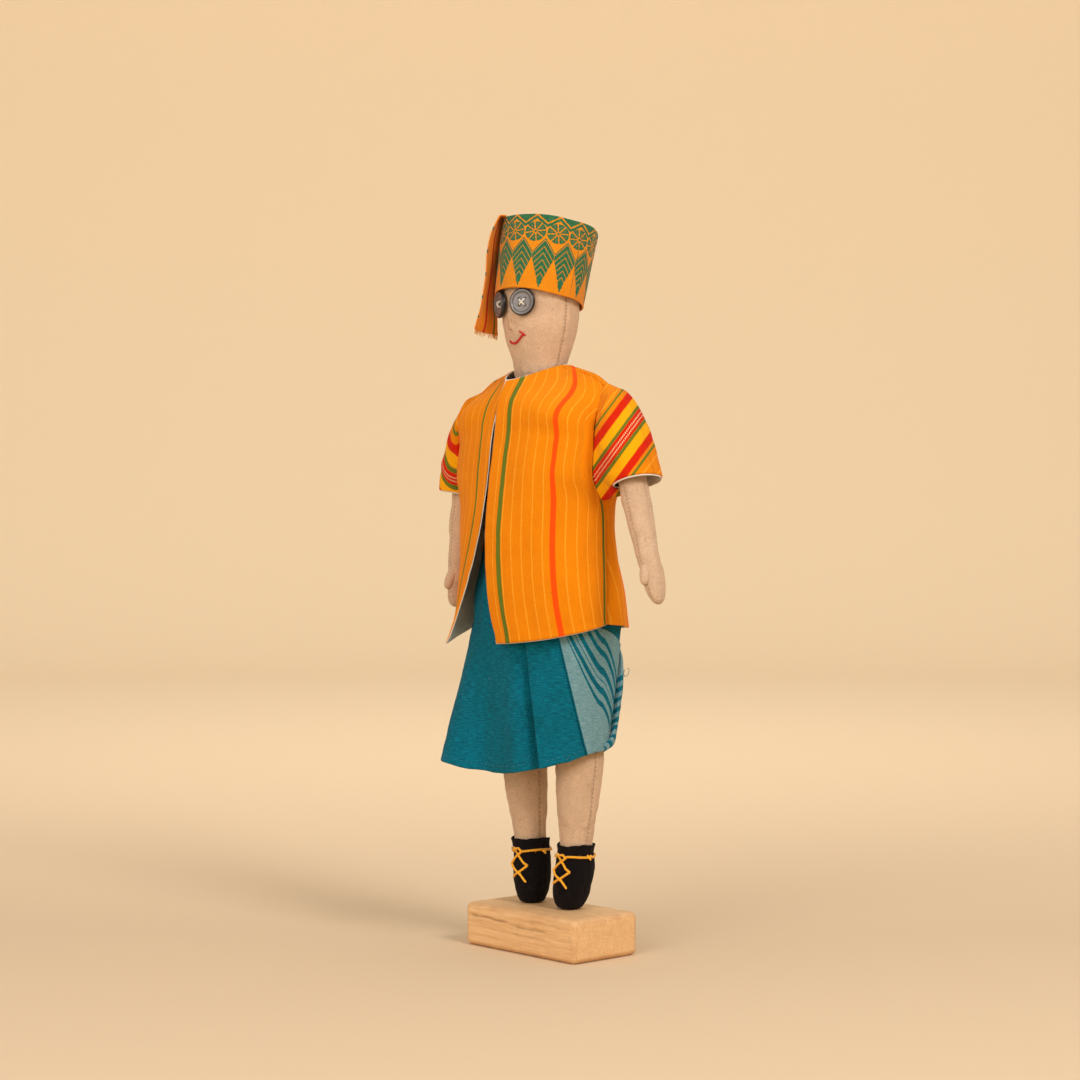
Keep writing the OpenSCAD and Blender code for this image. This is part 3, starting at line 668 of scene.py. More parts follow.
def shoe_material():
    N = Nodes("black_cloth")
    p = N.attr("rest")
    h, x, y, th, tv = cloth_height(N, 0.5, 0.5)
    fuzz = N.noise(p, 2.2, 4.0, 0.75)
    col = N.mix(N.remap(fuzz, 0.35, 0.75), srgb(9, 7, 8), srgb(24, 20, 21))
    col = N.mix(N.remap(N.noise(p, 0.2, 2.0), 0.6, 0.75, 0, 0.4), col, srgb(38, 30, 26))
    return N.done(col, 0.95, N.bump(N.add(h, N.mul(fuzz, 1.5)), 0.00022, 0.8), sheen=0.06, sheen_rough=0.6, sheen_tint=(0.6, 0.5, 0.5), spec=0.08)


def wood_material():
    N = Nodes("pale_hardwood")
    p = N.attr("rest")
    x, y, z = N.xyz(p)
    warp = N.noise(N.scaled(p, (0.012, 0.05, 0.05)), 1.0, 3.0, 0.5)
    q = N.vec(N.mul(x, 0.012), N.add(N.mul(y, 0.55), N.mul(warp, 2.2)), N.add(N.mul(z, 0.62), N.mul(warp, 3.4)))
    ring = N.noise(q, 1.0, 3.0, 0.55, 0.4)
    fibre = N.noise(N.scaled(p, (0.07, 1.9, 1.9)), 1.0, 4.0, 0.7)
    pore = N.noise(N.scaled(p, (0.16, 3.6, 3.6)), 1.0, 2.0, 0.6)
    band = N.m("SINE", N.mul(ring, 26.0))
    col = N.mix(N.remap(band, -1, 1), srgb(238, 196, 144), srgb(226, 180, 126))
    col = N.mix(N.remap(fibre, 0.4, 0.75, 0, 0.42), col, srgb(196, 144, 94))
    col = N.mix(N.remap(fibre, 0.45, 0.25, 0, 0.5), col, srgb(240, 200, 148))
    pores = N.remap(pore, 0.66, 0.76, 0, 0.6)
    col = N.mix(pores, col, srgb(120, 76, 44))
    worn = N.noise(p, 0.11, 3.0, 0.6)
    col = N.mix(N.remap(worn, 0.5, 0.8, 0, 0.35), col, srgb(190, 142, 96))
    edge = N.xyz(N.attr("cloth"))
    col = N.mix(N.mul(edge[0], 0.4), col, srgb(176, 124, 78))          # handled edges are a little darker
    col = N.mix(edge[1], col, srgb(94, 56, 32))                        # painted shade down in the cracks
    height = N.sub(N.add(N.mul(fibre, 0.6), N.mul(band, 0.06)), N.mul(pores, 0.7))
    return N.done(col, N.remap(fibre, 0.3, 0.8, 0.5, 0.7), N.bump(height, 0.00022, 0.6), spec=0.35)


def button_material():
    N = Nodes("grey_button")
    p = N.attr("cloth")
    x, y, z = N.xyz(p)
    r = N.m("SQRT", N.add(N.mul(x, x), N.mul(y, y)))
    streak = N.noise(N.vec(N.mul(x, 0.25), N.mul(y, 2.2)), 1.0, 3.0, 0.6, 0.6)
    col = N.mix(N.remap(streak, 0.3, 0.7), srgb(96, 92, 92), srgb(132, 128, 127))
    col = N.mix(N.remap(N.noise(p, 1.6, 3.0), 0.5, 0.8, 0, 0.4), col, srgb(70, 66, 66))
    rim = N.mx(N.remap(r, 5.35, 5.95, 0, 1), N.remap(z, 0.95, 0.55, 0, 1))
    col = N.mix(rim, col, srgb(16, 15, 16))
    # painted shade on the inner slope of the rim, where it meets the dish
    col = N.mix(N.within(r, 4.35, 4.75, 0.25), col, srgb(78, 75, 75))
    return N.done(col, N.remap(streak, 0.3, 0.8, 0.28, 0.42), N.bump(streak, 0.00004, 0.4), coat=0.25, coat_rough=0.15, spec=0.5)


def plain_material(name, c, c2, rough=0.9, scale=0.8, dist=0.0002, sheen=0.2, metal=0.0):
    N = Nodes(name)
    co = N.t.nodes.new("ShaderNodeTexCoord").outputs["Object"]
    a = N.noise(co, scale * 1000, 4.0, 0.65)
    b = N.noise(co, scale * 180, 3.0, 0.6)
    col = N.mix(N.remap(a, 0.35, 0.7), srgb(*c), srgb(*c2))
    col = N.mix(N.remap(b, 0.4, 0.7, 0, 0.5), col, srgb(*c2))
    return N.done(col, rough, N.bump(a, dist, 0.6), sheen=sheen, metal=metal)


def cap_material():
    """Woven band: zigzag, wheels and fir trees in green on orange. cloth x counts repeats round the cap and y is mm below the rim."""
    N = Nodes("cap_weave")
    p = N.attr("rest")
    c = N.attr("cloth")
    u, v, g = N.xyz(c)
    x = N.mul(u, 9.87)
    fine = N.noise(p, 1.3, 3.0, 0.7)
    # threads: the pattern steps from one thread to the next
    step, rise = 0.34, 0.3
    jit = N.mul(N.sub(fine, 0.5), 0.35)
    xs = N.mul(N.add(N.m("FLOOR", N.mul(x, 1 / step)), 0.5), step)
    ys = N.mul(N.add(N.m("FLOOR", N.mul(N.add(v, jit), 1 / rise)), 0.5), rise)
    a = N.mul(N.sub(N.m("FRACT", N.add(N.mul(xs, 1 / 9.87), 0.5)), 0.5), 9.87)    # 0 at a wheel's middle
    b = N.mul(N.sub(N.m("FRACT", N.mul(xs, 1 / 9.87)), 0.5), 9.87)                # 0 between wheels
    A, B = N.abs(a), N.abs(b)
    # zigzag whose points reach down between the wheels
    zz = N.sub(ys, N.add(0.3, N.mul(A, 0.78)))
    green = N.mx(N.within(zz, 0.0, 1.5, 0.05), N.less(zz, -0.75, 0.05))
    # wheels
    dy = N.sub(ys, 7.9)
    r = N.m("SQRT", N.add(N.mul(a, a), N.mul(dy, dy)))
    ang = N.m("ARCTAN2", dy, a)
    sect = N.abs(N.sub(N.m("FRACT", N.add(N.mul(ang, 8 / (2 * PI)), 0.25)), 0.5))
    spoke = N.mul(N.sub(0.5, sect), N.mul(r, 2 * PI / 8))           # distance from a spoke
    wheel = N.mul(N.within(r, 0.75, 4.7, 0.06), N.remap(spoke, 0.2, 0.32, 0, 1))
    split = N.mul(N.within(r, 2.2, 3.9, 0.1), N.remap(N.mul(sect, N.mul(r, 2 * PI / 8)), 0.05, 0.16, 1, 0))
    wheel = N.mul(wheel, N.sub(1.0, N.mul(split, 0.35)))
    wheel = N.mx(wheel, N.less(r, 0.55, 0.05))
    green = N.mx(green, wheel)
    # trees under the gaps between wheels
    y0 = 10.7
    q = N.sub(N.sub(ys, y0), N.mul(B, 1.35))
    depth = N.mul(N.sub(ys, y0), 0.87)
    half = N.mn(N.remap(depth, 8.2, 17.4, 4.9, 1.1), 4.9)
    inside = N.mul(N.less(B, half, 0.08), N.remap(q, -0.04, 0.04, 0, 1))
    lines = N.abs(N.sub(N.m("FRACT", N.mul(N.sub(q, 0.95), 1 / 3.1)), 0.5))
    chev = N.mul(inside, N.remap(lines, 0.4, 0.45, 1, 0))
    chev = N.mul(chev, N.less(depth, 17.2, 0.1))
    blob = N.less(N.m("SQRT", N.add(N.mul(b, b), N.mul(N.mul(N.sub(depth, 17.6), 0.75), N.mul(N.sub(depth, 17.6), 0.75)))), 1.15, 0.06)
    stem = N.mul(N.less(B, 0.36, 0.05), N.within(depth, 17.0, 21.0, 0.1))
    green = N.mx(green, chev, blob, stem)
    green = N.mul(green, g)          # the cap's wall carries the pattern, its turned hem and lid do not
    sc = N.vec(x, v)
    sx, sy, _ = N.xyz(sc)
    h = N.weave(sx, sy, 0.42, 0.42)
    mott = N.noise(p, 0.07, 3.0)
    col = N.mix(N.remap(mott, 0.35, 0.68), srgb(232, 140, 3), srgb(218, 130, 2))
    col = N.mix(N.remap(fine, 0.5, 0.8, 0, 0.5), col, srgb(252, 168, 20))
    gcol = N.mix(N.remap(fine, 0.4, 0.7), srgb(26, 96, 62), srgb(56, 118, 78))
    gcol = N.mix(N.remap(N.noise(N.vec(N.mul(x, 2.6), N.mul(v, 0.3)), 1.0, 2.0), 0.55, 0.75, 0, 0.6), gcol, srgb(96, 140, 70))
    col = N.mix(green, col, gcol)
    # painted shade: the weave's low places between the threads are darkened
    col = N.mix(N.remap(N.sub(1.0, h), 0.25, 1.0, 0, 0.3), col, N.mix(1.0, col, (0.55, 0.5, 0.45), "MULTIPLY"))
    height = N.add(N.add(h, N.mul(fine, 0.8)), N.mul(green, 1.2))
    return N.done(col, N.remap(fine, 0.3, 0.8, 0.8, 0.95), N.bump(height, 0.00016, 0.7), sheen=0.12, spec=0.2)


def tail_material():
    N = Nodes("tail_weave")
    p = N.attr("rest")
    h, x, y, th, tv = cloth_height(N, 0.42, 0.42)
    fine = N.noise(p, 1.3, 3.0, 0.7)
    col = N.mix(N.remap(N.noise(p, 0.07, 3.0), 0.35, 0.68), srgb(238, 137, 3), srgb(230, 130, 2))
    col = N.mix(N.remap(th, 0.5, 0.8, 0, 0.5), col, srgb(250, 158, 16))
    col = N.mix(N.within(x, -1.35, -0.45, 0.12), col, srgb(206, 34, 6))
    col = N.mix(N.within(x, -6.6, -5.6, 0.12), col, srgb(70, 112, 40))
    spots = N.mul(N.less(N.abs(N.sub(N.m("FRACT", N.mul(y, 1 / 10.6)), 0.5)), 0.07, 0.02), N.remap(x, 5.0, 5.3, 0, 1))
    col = N.mix(spots, col, srgb(30, 84, 54))
    # painted shade: the weave's low places between the threads are darkened
    col = N.mix(N.remap(N.sub(1.0, h), 0.25, 1.0, 0, 0.3), col, N.mix(1.0, col, (0.55, 0.5, 0.45), "MULTIPLY"))
    return N.done(col, 0.9, N.bump(N.add(h, N.mul(fine, 0.8)), 0.00014, 0.7), sheen=0.12, spec=0.2)


M_CANVAS = canvas("unbleached_canvas")
M_LEFT = jacket_material("jacket_cloth_left", 1)
M_RIGHT = jacket_material("jacket_cloth_right", -1)
M_LINING = lining_material()
M_SKIRT = skirt_material()
M_SHOE = shoe_material()
M_WOOD = wood_material()
M_BUTTON = button_material()
M_CAP = cap_material()
M_TAIL = tail_material()
M_LACE = thread_material("yellow_lace", (252, 174, 14), 0.62, 0.55)
M_CREAM = thread_material("cream_thread", (222, 214, 202), 0.7, 2.0)
M_SEAM = thread_material("seam_thread", (150, 116, 84), 0.6, 2.0, 0.1)
M_ORANGE_THREAD = thread_material("orange_thread", (240, 150, 16), 0.6, 2.0)
M_RED = thread_material("red_floss", (196, 20, 8), 0.55, 1.0)
M_NOSE = thread_material("tuck_thread", (200, 158, 124), 0.6, 2.0, 0.1)
M_GREEN_THREAD = thread_material("green_thread", (80, 116, 44), 0.6, 2.0)
M_TEAL_THREAD = thread_material("teal_thread", (40, 110, 124), 0.6, 2.0)
M_STEEL = plain_material("dull_steel_wire", (150, 148, 144), (110, 108, 104), 0.42, 0.5, 0.00004, 0.0, 1.0)
M_STUFF = plain_material("cotton_waste", (226, 218, 202), (198, 186, 166), 0.97, 0.9, 0.0006, 0.35)
M_JOINT = plain_material("shoulder_thread", (228, 214, 188), (188, 170, 140), 0.85, 2.2, 0.00008, 0.25)


# ------------------------------------------------------------------ stand, legs and shoes
def leg_c(side, z):
    z = np.asarray(z, float)
    return np.stack([BX + side * (11.6 + (z - 6) * 0.0929), by(z), z], -1)


def shoe_c(side, z):
    z = np.asarray(z, float)
    c = leg_c(side, z)
    c[..., 1] += np.where(z < 41, -2.2 * (41 - z) / 21, 0)
    return c


def wood_block():
    a, b, h, r = 75.5, 40.5, 20.0, 3.0
    n = (110, 62, 34)
    faces, V, F, at = [], [], [], 0
    half = np.array([a, b, h]) / 2
    seen = {}
    P = []

    def vid(p):
        k = tuple(np.round(p, 4))
        if k not in seen:
            seen[k] = len(P)
            P.append(p)
        return seen[k]

    def spread(m, L):
        # more points where the edge rounds
        u = np.linspace(-1, 1, m)
        return (u * 0.72 + 0.28 * np.sin(u * PI / 2)) * L

    xs, ys, zs = spread(n[0], half[0]), spread(n[1], half[1]), spread(n[2], half[2])
    for ax, (A, B) in ((0, (ys, zs)), (1, (zs, xs)), (2, (xs, ys))):
        for sgn in (-1, 1):
            ids = np.empty((len(A), len(B)), int)
            for i, p in enumerate(A):
                for j, q in enumerate(B):
                    v = np.zeros(3)
                    v[ax], v[(ax + 1) % 3], v[(ax + 2) % 3] = sgn * half[ax], p, q
                    ids[i, j] = vid(v)
            for i in range(len(A) - 1):
                for j in range(len(B) - 1):
                    f = [ids[i, j], ids[i + 1, j], ids[i + 1, j + 1], ids[i, j + 1]]
                    F.append(f if sgn > 0 else f[::-1])
    P = np.array(P)
    inner = np.clip(P, -(half - r), half - r)
    d = P - inner
    n_ = unit(d)
    Q = inner + n_ * r
    flat = np.sum(np.abs(d) > 1e-6, axis=1) <= 1
    Q[flat] = P[flat]
    edge = np.clip((np.sum((np.abs(P) > half - 2.2), axis=1) - 1), 0, 1).astype(float)
    nv = unit(np.where(np.abs(P) > half - 1e-6, np.sign(P), 0) + n_ * 0.001)
    w = 0.18 * fbm(Q, 16, 5) + 0.06 * fbm(Q * [0.3, 1, 1], 3, 9)
    # long grain cracks near the upper edge of the front face
    crack = np.zeros(len(Q))
    for x0, x1, z0, slope, dep in ((-36, -4, 14.6, -0.035, 0.8), (-8, 22, 13.0, -0.03, 0.6), (-30, 20, 9.4, -0.01, 0.25), (4, 34, 16.1, -0.02, 0.3)):
        zc = z0 + slope * (Q[:, 0] - x0) + 0.35 * vnoise(Q * [1, 0, 0], 4, 3)
        on = sstep(x0, x0 + 5, Q[:, 0]) * sstep(x1, x1 - 7, Q[:, 0]) * (P[:, 1] < -half[1] + 1e-6)
        wd = 0.42 + 0.25 * vnoise(Q * [1, 0, 0], 3, 7)
        g = np.exp(-(((Q[:, 2] + half[2] - zc) / wd) ** 2)) * on
        crack = np.maximum(crack, g * (dep / 0.8))
    Q = Q + nv * (w * (1 - edge * 0.5) - crack * 0.55)[:, None]
    Q[:, 2] += half[2]
    Q[:, 2] = np.clip(Q[:, 2], 0.0, 20.0)
    low = P[:, 2] < -half[2] + 1e-6
    Q[low & flat, 2] = 0
    Q[:, 0] = np.clip(Q[:, 0], -half[0], half[0])
    Q[:, 1] = np.clip(Q[:, 1], -half[1], half[1])
    # the second channel marks the cracks, where the material paints shade
    uv = np.stack([edge * (0.6 + 0.4 * vnoise(Q, 6, 2)), np.clip(crack, 0, 1) * 0.5, np.zeros(len(Q))], -1)
    return piece("wood_block", Q, F, [M_WOOD], "figure", ["wood_base"], uv=uv)


wood_block()


def limb_rings(centre, rows, zs, n=72, pucker=0.3, seed=1, front_back=False):
    """Rings of a stuffed leg: rows give height, half width and half depth."""
    rows = np.array(rows, float)
    R = herm(rows[:, 0], rows[:, 1:], zs)
    c = centre(zs)
    phi = np.linspace(0, 2 * PI, n, endpoint=False)
    P = np.empty((len(zs), n, 3))
    P[..., 0] = c[:, None, 0] + R[:, None, 0] * np.cos(phi)
    P[..., 1] = c[:, None, 1] + R[:, None, 1] * np.sin(phi)
    P[..., 2] = c[:, None, 2]
    out = np.stack([np.cos(phi), np.sin(phi), 0 * phi], -1)[None]
    side = np.abs(np.cos(phi))[None, :]
    seam = np.exp(-(((1 - side) / 0.006) ** 2))
    puck = vnoise(np.stack([0 * P[..., 2], 0 * P[..., 2], P[..., 2]], -1), 1.9, seed)
    d = 0.32 * fbm(P, 9, seed) + 0.12 * vnoise(P * [1, 1, 2], 3.2, seed + 3)
    d = d - seam * (0.28 + 0.1 * puck) + pucker * 0.5 * np.exp(-(((1 - side) / 0.035) ** 2)) * puck * 0.5
    uv = np.stack([phi[None] * R[:, :1], np.broadcast_to(zs[:, None], (len(zs), n)), np.zeros((len(zs), n))], -1)
    return P + out * d[..., None], uv, phi


LEG_ROWS = [[22.6, 4.2, 4.7], [24, 5.3, 5.6], [30, 6.9, 7.0], [38, 7.0, 7.2], [47, 7.25, 7.3], [56, 8.1, 8.1], [68, 9.6, 9.6], [82, 10.8, 10.8], [92, 11.0, 11.0], [96.6, 10.2, 10.2]]


def leg(side):
    name = "left" if side > 0 else "right"
    zs = np.concatenate([np.linspace(22.6, 50, 44), np.linspace(50.6, 96.6, 84)])
    P, uv, phi = limb_rings(lambda z: shoe_c(side, z), LEG_ROWS, zs, 84, seed=11 if side > 0 else 23)
    top = P[-1] * 0.55 + P[-1].mean(0) * 0.45
    top[:, 2] += 1.2
    P = np.concatenate([P, top[None]])
    uv = np.concatenate([uv, uv[-1:]])
    V, F, W = closed_rings(P, uv)
    ob = piece(f"{name}_leg", V, F, [M_CANVAS], "figure", [f"{name}_leg_skin"], uv=W)
    parts = []
    for k, j in enumerate((0, 42)):
        p = P[3:-2, j]
        n = unit(p - np.array([P[3:-2].mean(1)[:, 0], P[3:-2].mean(1)[:, 1], p[:, 2]]).T)
        parts.append(stitches(p, n, 2.1, 1.1, 0.14, 0.0, 0.3 + 0.5 * k))
    V, F, W = joined(parts)
    piece(f"{name}_leg_seam", V, F, [M_SEAM], "figure", uv=W)


for sd in (1, -1):
    leg(sd)

SHOE_ROWS = [[20.15, 3.4, 3.9], [20.6, 4.7, 5.3], [22, 6.0, 6.6], [24.5, 7.2, 7.7], [29, 8.4, 8.8], [35, 8.9, 9.2], [41, 8.7, 8.9], [46, 8.45, 8.5], [48.6, 8.7, 8.7], [49.6, 8.9, 8.9]]


def shoe(side):
    name = "left" if side > 0 else "right"
    n = 88
    zs = np.concatenate([[20.15, 20.3, 20.6], np.linspace(21, 49.6, 62)])
    rows = np.array(SHOE_ROWS)
    R = herm(rows[:, 0], rows[:, 1:], zs)
    c = shoe_c(side, zs)
    phi = np.linspace(0, 2 * PI, n, endpoint=False)
    P = np.empty((len(zs), n, 3))
    ex = 0.9
    P[..., 0] = c[:, None, 0] + R[:, None, 0] * np.sign(np.cos(phi)) * np.abs(np.cos(phi)) ** ex
    P[..., 1] = c[:, None, 1] + R[:, None, 1] * np.sin(phi)
    P[..., 2] = c[:, None, 2]
    out = np.stack([np.cos(phi), np.sin(phi), 0 * phi], -1)[None]
    sd_ = 31 if side > 0 else 47
    d = 0.45 * fbm(P, 8, sd_) + 0.16 * vnoise(P, 2.6, sd_ + 1)
    d = d * sstep(20.2, 23, P[..., 2])
    side_seam = np.exp(-(((1 - np.abs(np.cos(phi))) / 0.006) ** 2))[None]
    d = d - 0.3 * side_seam * sstep(22, 26, P[..., 2])
    P = P + out * d[..., None]
    lip = sstep(44, 49.6, P[..., 2])
    P[..., 2] += lip * (0.5 * vnoise(np.stack([np.cos(phi), np.sin(phi), 0 * phi], -1)[None] * 3 + sd_, 1.0, sd_) + 0.6 * np.abs(np.cos(phi))[None] ** 3)
    low = P[..., 2] < 20.15
    P[..., 2][low] = 20.15
    # inside of the cloth
    inner = np.empty_like(P)
    inner[:] = P
    cc = c[:, None, :]
    rad = P - cc
    inner = cc + rad * (1 - 0.8 / np.maximum(np.linalg.norm(rad[..., :2], axis=-1, keepdims=True), 1))
    inner[..., 2] = P[..., 2]
    inner[0, :, 2] = inner[1, :, 2] = inner[2, :, 2] = 21.1
    inner = inner[3:]
    edge = (P[-1] + inner[-1]) / 2 + [0, 0, 0.45]
    rings = np.concatenate([P, edge[None], inner[::-1]])
    V, F, W = closed_rings(rings, np.concatenate([np.stack([phi * 8.5, np.full(n, z), 0 * phi], -1)[None] for z in np.concatenate([zs, [50], zs[3:][::-1]])]))
    piece(f"{name}_cloth_shoe", V, F, [M_SHOE], "figure", [f"{name}_shoe"], uv=W)

    def on(az, z, lift=0.25):
        """A point on the shoe: az degrees from the front towards +X."""
        a = math.radians(az - 90)
        j = (a / (2 * PI) * n) % n
        j0 = int(j)
        w = j - j0
        col = P[:, j0] * (1 - w) + P[:, (j0 + 1) % n] * w
        p = np.array([np.interp(z, zs, col[:, k]) for k in range(3)])
        return p + np.array([math.cos(a), math.sin(a), 0]) * lift

    def lay(pts, r=0.53, steps=14, lift=0.42, closed=False):
        out = []
        for (a0, z0), (a1, z1) in zip(pts[:-1], pts[1:]):
            for q in np.linspace(0, 1, steps, endpoint=False):
                out.append(on(a0 + (a1 - a0) * q, z0 + (z1 - z0) * q, lift))
        if not closed:
            out.append(on(*pts[-1], lift))
        out = np.array(out)
        k = 2
        sm = out.copy()
        for _ in range(k):
            sm[1:-1] = sm[:-2] * 0.25 + sm[1:-1] * 0.5 + sm[2:] * 0.25
        return tube(sm, r, 12, twist=0.42, lobe=0.14, closed=False)

    band = [(a, 44.9 + 0.5 * math.sin(math.radians(a * 2 + 40 * side)) - 0.9 * math.cos(math.radians(a)) * 0.3) for a in range(18, 346, 12)]
    parts = [lay(band, steps=5)]
    parts.append(lay([(-14, 46.2), (20, 39.6), (34, 38.2)], lift=0.55))
    parts.append(lay([(34, 38.2), (10, 35.4), (-16, 32.4)], lift=0.5))
    parts.append(lay([(-22, 38.6), (-6, 36.2), (12, 34.0), (30, 30.6)], lift=0.95))
    parts.append(lay([(18, 44.7), (2, 42.6), (-22, 38.6)], lift=0.75))
    parts.append(lay([(346, 45.3), (366, 45.9), (376, 44.6)], lift=0.7))
    # knot and loose end at the outer side
    kn = on(92 if side > 0 else 88, 44.9, 0.9)
    th = np.linspace(0, 2.2 * PI, 22)
    parts.append(tube(kn + np.stack([0.55 * np.cos(th), 0.8 * np.sin(th), 0.5 * np.sin(2 * th)], -1), 0.5, 10, 0.42, 0.12))
    parts.append(tube(kn + np.stack([np.linspace(0, 1.5, 9), np.linspace(0, -0.6, 9), -np.linspace(0, 1.2, 9) ** 1.4], -1), np.linspace(0.5, 0.36, 9), 10, 0.42, 0.12))
    V, F, W = joined(parts)
    piece(f"{name}_couched_lace", V, F, [M_LACE], "figure", [f"{name}_shoe_lace"], uv=W)
    # small stitches that hold the lace down
    tie = []
    for az, z in ((6, 42.9), (26, 38.9), (22, 36.9), (-6, 33.6), (12, 34.2), (60, 44.9), (140, 45.1), (200, 45.0), (260, 44.7), (320, 45.2)):
        a, b = on(az, z + 0.85, 0.25), on(az, z - 0.85, 0.25)
        m = on(az, z, 1.25)
        q = np.linspace(0, 1, 7)[:, None]
        tie.append(tube(a * (1 - q) ** 2 + m * 2 * q * (1 - q) + b * q * q, 0.13, 6))
    V, F, W = joined(tie)
    piece(f"{name}_lace_ties", V, F, [M_ORANGE_THREAD], "figure", uv=W)


for sd in (1, -1):
    shoe(sd)

# ------------------------------------------------------------------ torso
TORSO = np.array([[98.6, 24, 12], [104, 30, 16.5], [116, 33, 19.2], [135, 32.5, 19.2], [155, 31, 18.8], [180, 32, 19],
                  [205, 34, 19.5], [225, 36, 18.5], [240, 38, 16.5], [249, 38.4, 14.5], [255, 34, 13.2], [258.5, 24, 12.2], [261, 15.5, 11.6], [262.6, 12.6, 11.0], [263.5, 11.0, 10.2]])


def torso():
    zs = np.concatenate([np.linspace(98.6, 240, 90), np.linspace(241, 263.5, 44)])
    R = herm(TORSO[:, 0], TORSO[:, 1:], zs)
    n = 110
    phi = np.linspace(0, 2 * PI, n, endpoint=False)
    P = np.empty((len(zs), n, 3))
    P[..., 0] = BX + R[:, None, 0] * np.cos(phi)
    P[..., 1] = by(zs)[:, None] + R[:, None, 1] * np.sin(phi)
    P[..., 2] = zs[:, None]
    out = np.stack([np.cos(phi), np.sin(phi), 0 * phi], -1)[None]
    d = 0.3 * fbm(P, 14, 71) - 0.3 * np.exp(-(((1 - np.abs(np.cos(phi))) / 0.004) ** 2))[None] - 0.1
    P = P + out * d[..., None]
    bottom = P[0] * 0.5 + P[0].mean(0) * 0.5
    bottom[:, 2] -= 1.0
    P = np.concatenate([bottom[None], P])
    uv = np.stack([np.broadcast_to(phi[None] * 27, P.shape[:2]), P[..., 2], 0 * P[..., 2]], -1)
    V, F, W = closed_rings(P, uv)
    ob = piece("torso", V, F, [M_CANVAS], "figure", ["torso_skin"], uv=W)


torso()


def waist_tape():
    n = 120
    phi = np.linspace(0, 2 * PI, n, endpoint=False)
    rows = []
    for z in np.linspace(153.6, 157.8, 6):
        a = 33.0 + 0.12 * np.sin(7 * phi)
        rows.append(np.stack([BX + a * np.cos(phi), 0.7 + 20.7 * np.sin(phi), z + 0.35 * np.sin(3 * phi)], -1))
    P = np.array(rows)
    uv = np.stack([np.broadcast_to(phi[None] * 27, P.shape[:2]), P[..., 2], 0 * P[..., 2]], -1)
    V, F, G, W = thick(P, 0.55, True, uv)
    parts = [(V, F.tolist(), W)]
    c = np.array([BX + 12, 0.7 - 20.0, 155.6])
    th = np.linspace(0, 2 * PI, 30)
    for s in (-1, 1):
        loop = c + np.stack([s * (2.6 - 2.6 * np.cos(th)), -0.6 - 0.4 * np.sin(th / 2), 1.3 * np.sin(th) * (1 - np.cos(th)) / 2 - 0.3 * (1 - np.cos(th))], -1)
        parts.append(tube(loop, 0.4, 8))
        q = np.linspace(0, 1, 12)
        parts.append(tube(c + np.stack([s * 4 * q, -0.7 + 0 * q, -6.5 * q**1.3], -1), 0.4, 8))
    parts.append(tube(c + np.stack([0.9 * np.cos(th), -0.6 + 0.4 * np.sin(th), 0.9 * np.sin(th)], -1), 0.5, 8))
    V, F, W = joined(parts)
    piece("waist_tape", V, F, [M_LINING], "figure", ["waist_tie"], uv=W)


waist_tape()


# ------------------------------------------------------------------ skirt
def skirt_lift(f, u, z):
    """Soft folds of the cloth, outward positive."""
    lo = 1 - u
    d = 1.5 * lo * np.exp(-(((f + 83 - 6 * lo) / 7.5) ** 2))            # ridge beside the pleat
    d = d - 1.3 * lo * np.exp(-(((f + 98) / 8.0) ** 2))
    d = d + 1.7 * lo**1.2 * np.exp(-(((f + 118) / 9.0) ** 2)) - 1.1 * lo * np.exp(-(((f + 139) / 9.0) ** 2))
    d = d + 1.2 * lo * np.exp(-(((((f + 540) % 360) - 180 - 168) / 12.0) ** 2))
    for c, w, a in ((95, 9, 1.3), (125, 10, -1.1), (150, 9, 1.2), (62, 9, -0.9), (-160, 9, 0.9)):
        dd = ((f - c + 540) % 360) - 180
        d = d + a * lo * np.exp(-((dd / w) ** 2))
    return d * 1.7


def pleat_path():
    """Around the skirt as (degrees, depth under the top layer, share of pleat) with a knife pleat folded under at the front."""
    a = [(v, 0.0) for v in np.linspace(-14, -3.6, 12)]
    b = [(-2.6, 0.35), (-1.7, 0.95), (-0.9, 1.6), (0.2, 2.05), (1.8, 2.2), (4.0, 2.25), (6.2, 2.25), (8.0, 2.2), (9.2, 2.12), (9.9, 1.95), (10.15, 1.78),
         (9.9, 1.62), (9.2, 1.52), (8.0, 1.5), (6.0, 1.5), (4.0, 1.5), (2.2, 1.46), (0.9, 1.36), (0.1, 1.15), (-0.32, 0.85), (-0.38, 0.5), (-0.1, 0.2), (0.6, 0.03), (1.8, -0.03), (3.2, 0.0)]
    return a, b


